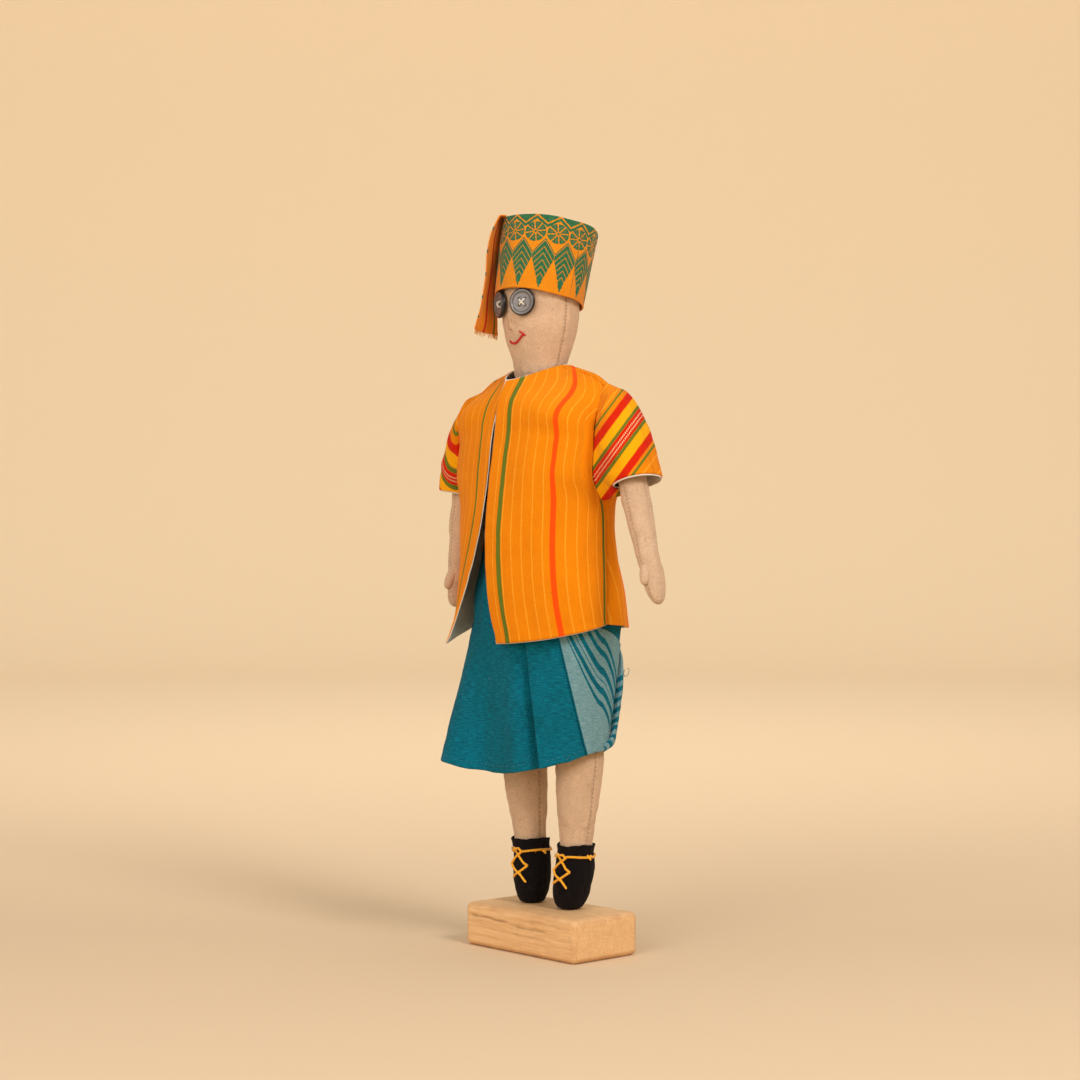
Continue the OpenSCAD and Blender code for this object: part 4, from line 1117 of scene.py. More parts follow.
def skirt():
    us = np.linspace(0, 1, 96)
    fp_top, fp_low = -73.5, -56.5
    a, b = pleat_path()
    pl = np.array(b)
    rest = np.concatenate([np.linspace(4.2, 360 - 4, 300)])
    F0 = np.concatenate([pl[:, 0], rest])
    D0 = np.concatenate([pl[:, 1], 0 * rest])
    n = len(F0)
    U = np.broadcast_to(us[:, None], (len(us), n))
    centre = fp_low + (fp_top - fp_low) * U
    amp = 1.0 - 0.15 * U
    f = centre + F0[None] * np.where(np.abs(F0[None]) < 14, 1.0, 1.0)
    depth = D0[None] * (1.0 + 0.55 * (1 - U) * (np.arange(n)[None] < 13)) * amp
    # the cloth left of the fold sinks towards it
    left = F0[None] > 330
    sink = np.exp(-(((360 - F0[None]) / 8.0) ** 2)) * left * (2.0 + 3.8 * (1 - U))
    under = (np.arange(n)[None] < 13)
    depth = np.where(under, np.maximum(depth, 0.92 * (2.0 + 3.8 * (1 - U))), depth)
    lip = (0.5 + 1.3 * (1 - U)) * np.exp(-((F0[None] / 9.0) ** 2)) * (~under)
    depth = depth - np.where(F0[None] < 180, lip, 0)
    base = skirt_point(f, U)
    ff = ((f + 540) % 360) - 180
    cen = np.stack([np.full(f.shape, BX), np.zeros(f.shape), base[..., 2]], -1)
    N = grid_normals(skirt_point(np.linspace(-180, 180, 721)[None] * np.ones((len(us), 1)), us[:, None] * np.ones((1, 721))))
    idx = np.clip(np.round((ff + 180) / 0.5).astype(int), 1, 719)
    nn = N[np.arange(len(us))[:, None], idx]
    inside_pleat = (np.arange(n)[None] < len(pl))
    soft = skirt_lift(np.where(inside_pleat, centre + 3, ff), U, base[..., 2])
    soft = np.where(inside_pleat, 0, soft * sstep(0, 12, F0[None]) * sstep(360, 352, F0[None]))
    wr = 0.35 * fbm(base * [1, 1, 0.55], 17, 91) + 0.1 * fbm(base, 4.5, 92)
    wr = np.where(inside_pleat, wr * 0.3, wr)
    P = base + nn * (soft + wr - depth - sink)[..., None]
    hemwave = 0.7 * np.sin(np.radians(ff * 5 + 20)) + 0.5 * vnoise(np.stack([ff / 9, 0 * ff, 0 * ff], -1), 1.0, 5)
    P[..., 2] += (1 - U) ** 3 * hemwave * 0.8
    seg = np.linalg.norm(np.diff(P, axis=1), axis=2)
    arc = np.concatenate([np.zeros((len(us), 1)), np.cumsum(seg, 1)], 1)
    uv = np.stack([arc, P[..., 2] - 84, np.zeros(arc.shape)], -1)
    V, F, G, W = thick(P, 0.62, True, uv)
    ob = piece("skirt", V, F, [M_SKIRT], "figure", ["skirt_wrap"], uv=W)
    # turned hem stitches
    j = np.arange(len(pl) + 2, n - 2)
    nrm = nn[4, j]
    V, F, W = joined([stitches(P[4, j], nrm, 2.6, 1.2, 0.12, 0.0)])
    piece("skirt_hem_stitches", V, F, [M_TEAL_THREAD], "figure", uv=W)
    return P, nn, F0


SKIRT = skirt()


def skirt_upper():
    n = 220
    ph = np.linspace(0, 2 * PI, n, endpoint=False)
    cc, ssn = np.cos(ph), np.sin(ph)
    zs = np.linspace(150.5, 203, 64)
    q = sstep(158, 203, zs)[:, None]
    A = 35.9 + (33.3 - 35.9) * q
    B = np.where(ssn[None] < 0, 28.0 + (24.0 - 28.0) * q, 22.0 + (20.3 - 22.0) * sstep(150.5, 185, zs)[:, None])
    k = 0.74 + 0.22 * q
    X = BX + A * np.sign(cc) * np.abs(cc)[None] ** k
    Y = B * np.sign(ssn) * np.abs(ssn)[None] ** k
    Z = zs[:, None] + 0.8 * np.sin(ph * 3)[None] * sstep(194, 203, zs)[:, None]
    P = np.stack([X, Y, Z + 0 * X], -1)
    N = grid_normals(P, True)
    P = P + N * (0.3 * fbm(P, 12, 95) - 0.3 + 0.35 * np.sin(ph * 19 + 0.5 * np.sin(ph * 4))[None] * (1 - q))[..., None]
    uv = np.stack([rows_arc(P), P[..., 2] - 84, np.zeros(X.shape)], -1)
    V, F, G, W = thick(P, 0.6, True, uv)
    ob = piece("skirt_upper_wrap", V, F, [M_SKIRT], "figure", uv=W)


def rows_arc(P):
    seg = np.linalg.norm(np.diff(P, axis=1), axis=2)
    return np.concatenate([np.zeros((len(P), 1)), np.cumsum(seg, 1)], 1)


skirt_upper()


def over_skirt(f, u, out):
    """A point a little outside the skirt's cloth."""
    base = skirt_point(f, u)
    ff = ((f + 540) % 360) - 180
    e = 0.5
    n = unit(np.cross(skirt_point(f + e, u) - skirt_point(f - e, u), np.broadcast_to([0.0, 0, 1], base.shape)))
    soft = skirt_lift(ff, u, base[..., 2]) * sstep(-56.5 - 17 * u, -44 - 17 * u, ff)
    wr = 0.35 * fbm(base * [1, 1, 0.55], 17, 91) + 0.1 * fbm(base, 4.5, 92)
    return base + n * (soft + wr + out)[..., None], n


BORDER_STRIPES = ((7.6, 8.6), (10.0, 13.6), (16.6, 17.4), (20.0, 24.2), (29.6, 33.0), (36.4, 39.6))
M_BORDER = skirt_material("striped_border", BORDER_STRIPES)


def border():
    p = np.linspace(0, 1, 110)[None]
    q = np.linspace(0, 1, 90)[:, None]
    fl = -10.5 - 32 * q + 0 * p
    fr = np.interp(q[:, 0], [0, 0.08, 0.3, 0.55, 0.8, 1], [5, 13, 24, 30, 34, 37])[:, None] + 0 * p
    f = fl + (fr - fl) * p
    top = np.where(f < -5, 0.995, 0.995 - (f + 5) * 0.0048)
    u = q * top
    P, n = over_skirt(f, u, 0.95 + 0 * f)
    # pulled up to the hip: shallow tension folds along the stripes, and a valley beside the tucked roll
    a = f + 42 - 32 * (1 - u)
    b = f + 36 - 66 * (1 - u)
    z = np.where(b > 0, 10 + b, 10 * a / np.maximum(a - b, 1e-3))
    fold = 0.55 * np.sin(z * 0.62) * sstep(8, 14, z) * sstep(0.98, 0.7, u)
    valley = 1.4 * np.exp(-(((fr - f) / 5.5) ** 2)) * sstep(0.02, 0.25, u)
    edge = 0.35 * np.exp(-((f - fl) / 1.2) ** 2)
    P = P + n * (fold * 0.2 + edge * 0.0 - np.minimum(valley, 0.6) + 0.5 * sstep(6, 16, z) * (1 - u * 0.6))[..., None]
    P[0, :, 2] -= 0.25
    seg = np.linalg.norm(np.diff(P, axis=1), axis=2)
    arc = np.concatenate([np.zeros((P.shape[0], 1)), np.cumsum(seg, 1)], 1)
    uv = np.stack([arc, P[..., 2], z], -1)
    V, F, G, W = thick(P, 0.55, False, uv)
    ob = piece("skirt_border", V, F, [M_BORDER], "figure", ["skirt_border_fold"], uv=W)
    # the tucked edge rolls over at the hip, from the waist down to the hem
    k = np.linspace(0, 1, 90)
    fr_k = np.interp(k, [0, 0.25, 0.5, 0.75, 0.93, 1], [35, 34.5, 31.5, 26, 15, 3])
    u_k = np.interp(k, [0, 0.25, 0.5, 0.75, 0.93, 1], [0.80, 0.62, 0.40, 0.19, 0.06, 0.015])
    r_k = np.interp(k, [0, 0.1, 0.35, 0.7, 0.93, 1], [0.5, 1.5, 2.5, 2.4, 1.7, 1.1])
    C, n = over_skirt(fr_k, u_k, r_k * 0.8 + 0.3)
    for _ in range(6):
        C[1:-1] = C[:-2] * 0.25 + C[1:-1] * 0.5 + C[2:] * 0.25
    T = unit(np.gradient(C, axis=0))
    S = unit(np.cross(T, n))
    n2 = unit(np.cross(S, T))
    m = 40
    th = np.linspace(0, 2 * PI, m, endpoint=False)
    # a flattened roll with one overlapping lip
    wob = 1 + 0.08 * np.sin(3 * th)[None] + 0.1 * vnoise(np.stack([k[:, None] * 9 + 0 * th, np.cos(th)[None] * 1.3 + 0 * k[:, None], np.sin(th)[None] * 1.3 + 0 * k[:, None]], -1), 1.0, 8)
    rr = r_k[:, None] * wob
    lip = 0.35 * np.exp(-(((th - PI) / 0.25) ** 2))[None]
    Q = C[:, None] + S[:, None] * (rr * 1.35 * np.cos(th))[..., None] + n2[:, None] * ((rr * 0.78 + lip) * np.sin(th) + lip * 0.6)[..., None]
    arcs = np.concatenate([[0], np.cumsum(np.linalg.norm(np.diff(C, axis=0), axis=1))])
    zz = arcs[:, None] * 1.0 + 1.5 * np.sin(th)[None]
    band = 15 + 12 * ((zz / 4.9) % 1.0)          # stripes cross the roll
    uv = np.stack([np.broadcast_to(th[None] * 2.4, Q.shape[:2]), np.broadcast_to(arcs[:, None], Q.shape[:2]), zz], -1)
    V, F, W = closed_rings(Q[::-1], uv[::-1])
    ob = piece("skirt_tucked_roll", V, F, [M_ROLL], "figure", uv=W)
    # loose thread ends
    th = np.linspace(0, 1.7 * PI, 26)
    c, nn_ = over_skirt(np.array([38.0]), np.array([0.62]), np.array([5.0]))
    c = c[0]
    parts = [tube(c + np.stack([1.6 * np.sin(th), 0.6 * np.cos(th), 1.9 * np.cos(th)], -1), 0.13, 6)]
    for f0, u0, L in ((-30, 0.01, 2.2), (-118, 0.3, 3.0), (-95, 0.62, 2.4)):
        p0, m0 = over_skirt(np.array([float(f0)]), np.array([u0]), np.array([0.4]))
        q = np.linspace(0, 1, 9)[:, None]
        parts.append(tube(p0[0] + q * L * unit(np.array([0.6, -0.2, 0.7])) + m0[0] * (0.5 * np.sin(q * PI)), 0.1, 6))
    V, F, W = joined(parts)
    piece("skirt_loose_threads", V, F, [M_TEAL_THREAD], "figure", uv=W)


M_ROLL = skirt_material("striped_roll", tuple((2.4 + 4.9 * i, 4.8 + 4.9 * i) for i in range(2, 12)))
border()


# ------------------------------------------------------------------ jacket
def panel_shape(side, s, t):
    """Front panel with its soft folds. Columns run from the front edge to the side."""
    P = front_surface(side, s, t)
    N = grid_normals(P if side > 0 else P[:, ::-1])
    N = N if side > 0 else N[:, ::-1]
    S, T = s[:, None] / 121.0, t[None]
    low = 1 - S
    arc = rows_arc(P)
    if side > 0:
        d = 0.75 * np.sin(arc / 60 * 2 * PI * 1.35 + 0.6) * sstep(0.85, 0.1, S)
        d = d + 0.9 * np.exp(-(((arc - 47 - 3 * S) / 6.0) ** 2)) * sstep(0.75, 0.3, S)
        d = d - 0.9 * np.exp(-(((arc - 22 + 4 * S) / 7.0) ** 2)) * sstep(0.7, 0.1, S)
    else:
        d = 0.6 * np.sin(arc / 60 * 2 * PI * 1.2 + 2.1) * sstep(0.85, 0.1, S)
        d = d - 0.8 * np.exp(-(((arc - 24) / 7.0) ** 2)) * sstep(0.8, 0.1, S)
    d = d + 0.45 * fbm(P * [1, 1, 0.6], 19, 201 + side) + 0.1 * vnoise(P, 4.5, 203 + side)
    # pull towards the armhole's seam
    d = d - 0.5 * np.exp(-(((1 - T) * 40 / 3.0) ** 2)) * sstep(0.45, 0.6, S) * (0.6 + 0.4 * np.sin(S * 121 * 1.9))
    keep = sstep(0, 0.05, 1 - T) * (1 - 0.7 * sstep(0.9, 1.0, S))
    return P + N * (d * keep)[..., None], N


def plumb(P, arc, s, side):
    """Place across the cloth: along the row up to the armhole, and straight up above it."""
    k = int(np.searchsorted(s, 56))
    x = P[..., 0] * side
    out = arc.copy()
    xs, av = x[k], arc[k]
    keep = np.concatenate([[True], np.diff(np.maximum.accumulate(xs)) > 1e-4])
    xs, av = xs[keep], av[keep]
    for i in range(k, len(s)):
        w = 0.62 * sstep(48, 84, s[i]) * sstep(121, 98, s[i])
        q = np.interp(x[i], xs, av) + np.maximum(x[i] - xs[-1], 0) + np.minimum(x[i] - xs[0], 0)
        out[i] = arc[i] * (1 - w) + q * w
    return out


def jacket_front(side):
    name = "left" if side > 0 else "right"
    s = np.concatenate([np.linspace(0, 112, 120), np.linspace(112.6, 121, 16)])
    t = np.linspace(0, 1, 96)
    P, N = panel_shape(side, s, t)
    arc = rows_arc(P)
    # a soft turned edge: the first 3 mm are doubled cloth
    P = P + N * (0.22 * np.exp(-((arc / 2.6) ** 4)) + 0.25 * np.exp(-(((s[:, None] - 0) / 2.4) ** 4)))[..., None]
    uv = np.stack([plumb(P, arc, s, side), np.broadcast_to(s[:, None], arc.shape), arc[:, -1:] - arc], -1)
    cols = slice(None) if side > 0 else slice(None, None, -1)
    V, F, G, W = thick(P[:, cols], 0.62, False, uv[:, cols])
    mat = M_LEFT if side > 0 else M_RIGHT
    body = piece(f"{name}_jacket_cloth", V, F, [mat], None, [f"jacket_{name}_front", f"{name}_front_flap"], uv=W)
    # the lining is cut a little larger, so its edge shows along the front, the neck and the hem
    L = P - N * 0.82
    Lx = L.copy()
    e = unit(L[:, 0] - L[:, 1])
    fade = np.exp(-((arc / 1.6) ** 2))[..., None]
    Lx = Lx + e[:, None] * fade * 0.55 + N * fade * 0.35
    dn = unit(L[0] - L[1])
    fz = np.exp(-((s[:, None] / 1.6) ** 2))[..., None]
    Lx = Lx + dn[None] * fz * 0.4 + N * fz * 0.25
    up = unit(L[-1] - L[-2])
    neck = (t < 0.5)[None, :, None] * np.exp(-(((121 - s[:, None]) / 1.6) ** 2))[..., None]
    seamside = (t >= 0.5)[None, :, None] * np.exp(-(((121 - s[:, None]) / 3.0) ** 2))[..., None]
    Lx = Lx + up[None] * neck * 0.7 + N * neck * 0.3 - N * seamside * 0.9 - up[None] * seamside * 1.6
    uvl = np.stack([arc, np.broadcast_to(s[:, None], arc.shape), np.zeros(arc.shape)], -1)
    V, F, G, W = thick(Lx[:, cols], 0.36, False, uvl[:, cols])
    lin = piece(f"{name}_front_lining", V, F, [M_LINING], None, [f"jacket_{name}_lining", f"{name}_flap_lining"], uv=W)
    for ob in (body, lin):
        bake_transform(ob)
    return P, N, arc


def jacket_back():
    s = np.concatenate([np.linspace(0, 112, 100), np.linspace(112.6, 121, 14)])
    t = np.linspace(0, 1, 150)
    P = back_surface(s, t)
    N = grid_normals(P)
    S, T = s[:, None] / 121, t[None]
    d = 0.5 * fbm(P * [1, 1, 0.6], 21, 301) + 0.9 * np.sin(T * 2 * PI * 4 + 0.5) * sstep(0.75, 0.0, S) * sstep(0, 0.1, T) * sstep(1, 0.9, T)
    P = P + N * (d * sstep(0, 0.04, T) * sstep(1, 0.96, T) * (1 - 0.6 * sstep(0.9, 1, S)))[..., None]
    arc = rows_arc(P)
    half = arc[:, -1:] / 2
    lay_ = P.copy()
    # seam allowance tucked under the fronts at the sides and along the shoulders
    below = sstep(66, 60, s)[:, None]
    a = unit(P[:, :1] - P[:, 2:3])
    b = unit(P[:, -1:] - P[:, -3:-2])
    wl = np.exp(-(((arc) / 2.2) ** 2)) * below
    wr = np.exp(-(((arc[:, -1:] - arc) / 2.2) ** 2)) * below
    lay_ = lay_ + a * (wl * 2.4)[..., None] + b * (wr * 2.4)[..., None] - N * ((wl + wr) * 1.3)[..., None]
    sh = (np.abs(P[-1, :, 0] - BX) > 15)[None] * np.exp(-(((121 - s[:, None]) / 1.8) ** 2))
    lay_[..., 1] -= sh * 1.9
    lay_[..., 2] -= sh * 0.9
    uv = np.stack([arc - half, np.broadcast_to(s[:, None], arc.shape), np.zeros(arc.shape)], -1)
    V, F, G, W = thick(lay_, 0.62, False, uv)
    ob = piece("jacket_back_cloth", V, F, [M_BACK], "figure", ["jacket_back"], uv=W)
    L = lay_ - N * 0.8
    up = unit(L[-1] - L[-2])
    neck = (np.abs(P[-1, :, 0] - BX) < 15.2)[None, :, None] * np.exp(-(((121 - s[:, None]) / 1.6) ** 2))[..., None]
    shs = (np.abs(P[-1, :, 0] - BX) >= 15.2)[None, :, None] * np.exp(-(((121 - s[:, None]) / 3.0) ** 2))[..., None]
    L = L + up[None] * neck * 0.7 + N * neck * 0.3 - N * shs * 0.9 - up[None] * shs * 1.6
    V, F, G, W = thick(L, 0.36, False, uv)
    ob = piece("back_lining", V, F, [M_LINING], "figure", ["jacket_back_lining"], uv=W)
    return P, N


M_BACK = jacket_material("jacket_cloth_back", 0, back=[(-38.5, -36.0, "r"), (-13.5, -11.2, "g"), (14.0, 16.4, "r"), (39.0, 41.3, "g")])
LP = jacket_front(1)
RP = jacket_front(-1)
jacket_back()


# ------------------------------------------------------------------ sleeves and arms
def arm_axis(side):
    a = math.radians(18.5 if side > 0 else -6.0)
    l = math.radians(3.2)
    d = np.array([math.sin(a), -math.cos(a) * math.sin(l), -math.cos(a) * math.cos(l)])
    c = np.array([BX + side * 50, -2, 250])
    e1 = unit(np.array([1.0, 0, 0]) - d * d[0])
    e2 = np.cross(d, e1)
    e2 = e2 if e2[1] < 0 else -e2            # towards the front
    return c, d, e1, e2


HOLE = np.array([[40.6, -2.5, 262.2], [41.6, -9.5, 249.5], [42.5, -13, 232], [41.5, -12, 218], [40, -4, 208], [41.5, 8, 218], [42.5, 9, 232], [41.6, 5.5, 249.5]], float)


def ring_at(ctrl, th):
    """Closed smooth ring through evenly placed points."""
    m = len(ctrl)
    xs = np.arange(-2, m + 3)
    return herm(xs, ctrl[np.mod(xs, m)], (th / (2 * PI) * m) % m)


def outward(P):
    N = grid_normals(P, True)
    c = P.mean(1, keepdims=True)
    return P if np.sum(N * (P - c)) > 0 else P[:, ::-1]


def sleeve_shape(side):
    n = 104
    th = np.linspace(0, 2 * PI, n, endpoint=False)
    c, s = np.cos(th), np.sin(th)
    hole = ring_at(HOLE, th)
    if side > 0:
        mid = np.stack([np.full(n, 48.5), -2 - 13.8 * s, 235 + 24 * c], -1)
        mid[:, 0] = 48.5
        pc, d, e1, e2 = arm_axis(1)
        end_c = np.array([60.6, -3.4, 217.2])
        f = np.sign(s) * np.abs(s) ** 0.92
        g = np.sign(c) * np.abs(c) ** 0.92
        end = end_c + e1 * (11.0 * g)[:, None] + e2 * (11.6 * f)[:, None]
        bul = ((1 + c) / 2)[:, None] * np.array([-0.3, 0, 9.9]) + s[:, None] * np.array([0, -1.6, 0])
        x0 = 47.5
    else:
        hole = mirror_x(hole)
        nrm = np.array([-0.995, 0, -0.1015])
        k = 26.1
        mz, my = 234.5 + 25.5 * c, -2 - 13.4 * s
        mx = (k + 0.1015 * mz) / -0.995
        mid = np.stack([mx, my, mz], -1)
        pc, d, e1, e2 = arm_axis(-1)
        end_c = pc + d * 36.0 + np.array([-2.2, 0, 0])
        f = np.sign(s) * np.abs(s) ** 0.9
        g = np.sign(c) * np.abs(c) ** 0.9
        end = end_c - e1 * (10.4 * g)[:, None] + e2 * (12.0 * f)[:, None]
        bul = ((1 + c) / 2)[:, None] * np.array([-2.4, 0, 11.0]) + s[:, None] * np.array([0, -1.2, 0])
    # A: from the armhole to the shoulder's plane
    u = np.linspace(0, 1, 18)[:, None, None]
    inwards = unit(mid.mean(0) - (hole + mid) / 2)
    soft = (1 - ((1 + c) / 2) ** 1.4)[None, :, None]
    A = hole * (1 - u) + mid * u + inwards * soft * (1.9 * np.sin(PI * np.clip(u * 1.25, 0, 1)) ** 1.2)
    A[0] += inwards * 0.9 + np.array([-1.6 * side, 0, 0])
    A[1] += inwards * 0.5 + np.array([-0.5 * side, 0, 0])
    # B: from just inside that plane to the sleeve's opening
    w = np.linspace(0, 1, 64)[:, None, None]
    ctrl = (mid + end) / 2 + bul
    B = mid * (1 - w) ** 2 + ctrl * 2 * w * (1 - w) + end * w * w
    return A, B, th


def sleeve(side):
    name = "left" if side > 0 else "right"
    A, B, th = sleeve_shape(side)
    sh, arm = f"{name}_shoulder", f"{name}_arm"
    # one continuous cloth: normals of the whole, then cut into its two parts
    P = np.concatenate([A, B[1:]])
    P = outward(P)
    N = grid_normals(P, True)
    c0 = P.mean(1, keepdims=True)
    rel = np.linspace(0, 1, len(P))[:, None]
    d = 0.5 * fbm(P, 15, 401 + side) + 0.12 * vnoise(P, 4.0, 402 + side)
    # soft cross folds inside the elbow of the sleeve
    d = d + 0.7 * np.sin(P[..., 2] * 0.42 + P[..., 0] * 0.2) * np.exp(-(((P[..., 2] - 222) / 12) ** 2)) * sstep(1.0, 0.75, rel) * (np.abs(P[..., 0]) < 62)
    d = d * sstep(0.12, 0.3, rel)
    P = P + N * d[..., None]
    k = len(A)
    xm = P[..., 0] if side > 0 else 2 * BX - P[..., 0]
    s = 0.5563 * xm + 0.5978 * P[..., 1] - 0.5964 * P[..., 2]       # the bands lie aslant across the sleeve
    arc = rows_arc(P)
    uv = np.stack([s, arc, np.zeros(s.shape)], -1)
    VA, FA, G, WA = thick(P[: k + 1] - N[: k + 1] * 0.0, 0.62, True, uv[: k + 1])
    a = piece(f"{name}_armhole_cloth", VA, FA, [M_SLEEVE], None, [], uv=WA)
    PB = P[k - 1:] + N[k - 1:] * 0.06
    VB, FB, G, WB = thick(PB, 0.62, True, uv[k - 1:])
    b = piece(f"{name}_sleeve_cloth", VB, FB, [M_SLEEVE], None, [f"{name}_sleeve"], uv=WB)
    # lining, its edge a little proud of the opening
    Q = P[k + 6:] - N[k + 6:] * 0.8
    e = unit(Q[-1] - Q[-2])
    fade = np.exp(-((np.linspace(1, 0, len(Q)) * len(Q) * 0.5 / 1.6) ** 2))[:, None, None]
    Q = Q + e[None] * fade * 0.8 + N[k + 6:] * fade * 0.35
    VL, FL, G, WL = thick(Q, 0.36, True, uv[k + 6:])
    l = piece(f"{name}_sleeve_lining", VL, FL, [M_LINING], None, [], uv=WL)
    if side > 0:
        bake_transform(a)
        for ob in (b, l):
            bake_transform(ob)
    else:
        for ob, q0, q1, b0, b1 in ((a, 23.4, 26.1, "figure", sh), (b, 26.1, 37.0, sh, arm), (l, 26.1, 37.0, sh, arm)):
            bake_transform(ob)
    return P, N


BANDS = [-127.88, -127.01, -124.99, -121.49, -117.81, -116.5, -111.77, -110.28, -106.08, -102.67, -101.61, -100.48]
M_SLEEVE = jacket_material("sleeve_cloth", 1, bands=BANDS)
for sd in (1, -1):
    sleeve(sd)

ARM = np.array([[-3.6, 1.2, 1.2], [-2.8, 2.7, 2.7], [0, 4.0, 4.0], [6, 5.1, 5.1], [20, 6.3, 6.3], [42, 6.5, 6.6], [52, 6.2, 6.4], [60, 5.6, 5.8],
                [66, 5.15, 5.35], [71, 4.9, 5.4], [77, 4.3, 5.5], [82, 3.9, 5.5], [86, 3.5, 4.9], [89, 2.9, 3.9], [91, 1.9, 2.6], [91.9, 0.9, 1.2]])


def arm(side):
    name = "left" if side > 0 else "right"
    c, d, e1, e2 = arm_axis(side)
    ts = np.concatenate([np.linspace(91.9, 70, 40), np.linspace(69.2, -3.6, 96)])
    R = herm(ARM[:, 0], ARM[:, 1:], ts)
    n = 72
    phi = np.linspace(0, 2 * PI, n, endpoint=False)
    back = sstep(68, 78, ts) * 1.1            # the mitten's fingers stand a little behind the thumb
    cen = c + d * ts[:, None] - e2 * back[:, None]
    if side < 0:
        cen = cen + e1 * 0
    out = e1[None] * np.cos(phi)[:, None] - e2[None] * np.sin(phi)[:, None]
    P = cen[:, None] + (e1[None, None] * (R[:, None, :1] * np.cos(phi)[None, :, None])) - e2[None, None] * (R[:, None, 1:] * np.sin(phi)[None, :, None])
    q = vnoise(np.stack([0 * ts, 0 * ts, ts], -1), 1.8, 61 + side)[:, None]
    seam = np.exp(-(((1 - np.abs(np.sin(phi))) / 0.008) ** 2))[None]
    dd = 0.28 * fbm(P, 8, 501 + side) + 0.1 * vnoise(P, 2.6, 503) - seam * (0.24 + 0.08 * q)
    dd = dd + 0.22 * np.exp(-(((1 - np.abs(np.sin(phi))) / 0.05) ** 2))[None] * q * sstep(48, 60, ts)[:, None]
    dd = dd * sstep(92, 90, ts)[:, None]
    P = P + out[None] * dd[..., None]
    uv = np.stack([np.broadcast_to(phi[None] * 6.2, P.shape[:2]), np.broadcast_to(ts[:, None], P.shape[:2]), 0 * P[..., 0]], -1)
    V1 = closed_rings(P, uv)
    core = cen[:, None] + (P - cen[:, None]) * (1 - 0.9 / np.maximum(np.linalg.norm(P - cen[:, None], axis=-1, keepdims=True), 1.2))
    core = core[3:-2]
    VS, FS, WS = closed_rings(core + 0.12 * fbm(core, 2.2, 521)[..., None] * out[None])
    sob = piece(f"{name}_arm_filling", VS, FS, [M_STUFF], f"{name}_arm", [f"{name}_arm_stuffing"])
    # thumb
    tt = np.linspace(0, 1, 26)
    tc = c + d * (71.5 + 12.0 * tt)[:, None] + e2 * (1.5 + 3.5 * sstep(0, 0.9, tt))[:, None]
    tr = np.interp(tt, [0, 0.25, 0.6, 0.85, 0.95, 1], [2.6, 2.7, 2.5, 2.0, 1.4, 0.5])
    V2 = tube(tc[::-1], tr[::-1], 36)
    nn = unit(V2[0] - tc[::-1][np.minimum(np.arange(len(V2[0])) // 36, 25)])
    V2 = (V2[0] + nn * (0.15 * fbm(V2[0], 5, 511))[:, None], V2[1], np.stack([V2[2][:, 1] * 2.4, V2[2][:, 0], 0 * V2[2][:, 0]], -1))
    V, F, W = joined([V1, V2])
    ob = piece(f"{name}_arm_canvas", V, F, [M_CANVAS], f"{name}_arm", [f"{name}_arm_skin"], uv=W)
    parts = []
    for j, o in ((18, 1.0), (54, 0.4)):
        p = P[4:-20, j]
        parts.append(stitches(p, unit(p - cen[4:-20]), 1.9, 1.05, 0.13, 0.0, o))
    V, F, W = joined(parts)
    piece(f"{name}_arm_seam", V, F, [M_SEAM], f"{name}_arm", uv=W)


for sd in (1, -1):
    arm(sd)

# ------------------------------------------------------------------ head
HEADP = np.array([[265.2, 9.6], [266, 10.6], [268, 11.6], [270.3, 12.1], [273, 12.5], [277, 13.7], [283, 15.6], [290, 17.2], [297, 18.0],
                  [304, 18.2], [312, 17.7], [317, 16.6], [321, 14.0], [324.4, 9.7], [326.3, 4.4], [326.7, 1.5]])


def nose_lump(az, z):
    """The tuck pinched up for the nose: az in degrees from the front towards +X."""
    r = (az + 3.5) * 0.31
    long = sstep(286.8, 289.6, z) * sstep(297.6, 294.6, z)
    return 1.25 * np.exp(-((r / 1.35) ** 2)) * long - 0.35 * np.exp(-(((np.abs(r) - 2.3) / 0.7) ** 2)) * long


def head_r(az, z):
    z = np.asarray(z, float)
    R = herm(HEADP[:, 0], HEADP[:, 1], z.ravel()).reshape(z.shape)
    return R + nose_lump(np.asarray(az, float), np.asarray(z, float))


def face(az, z, lift=0.0):
    az, z = np.asarray(az, float), np.asarray(z, float)
    a = np.radians(az - 90)
    r = head_r(az, z) + lift
    return np.stack([HEAD[0] + r * np.cos(a), HEAD[1] + r * np.sin(a), z + 0 * r], -1)


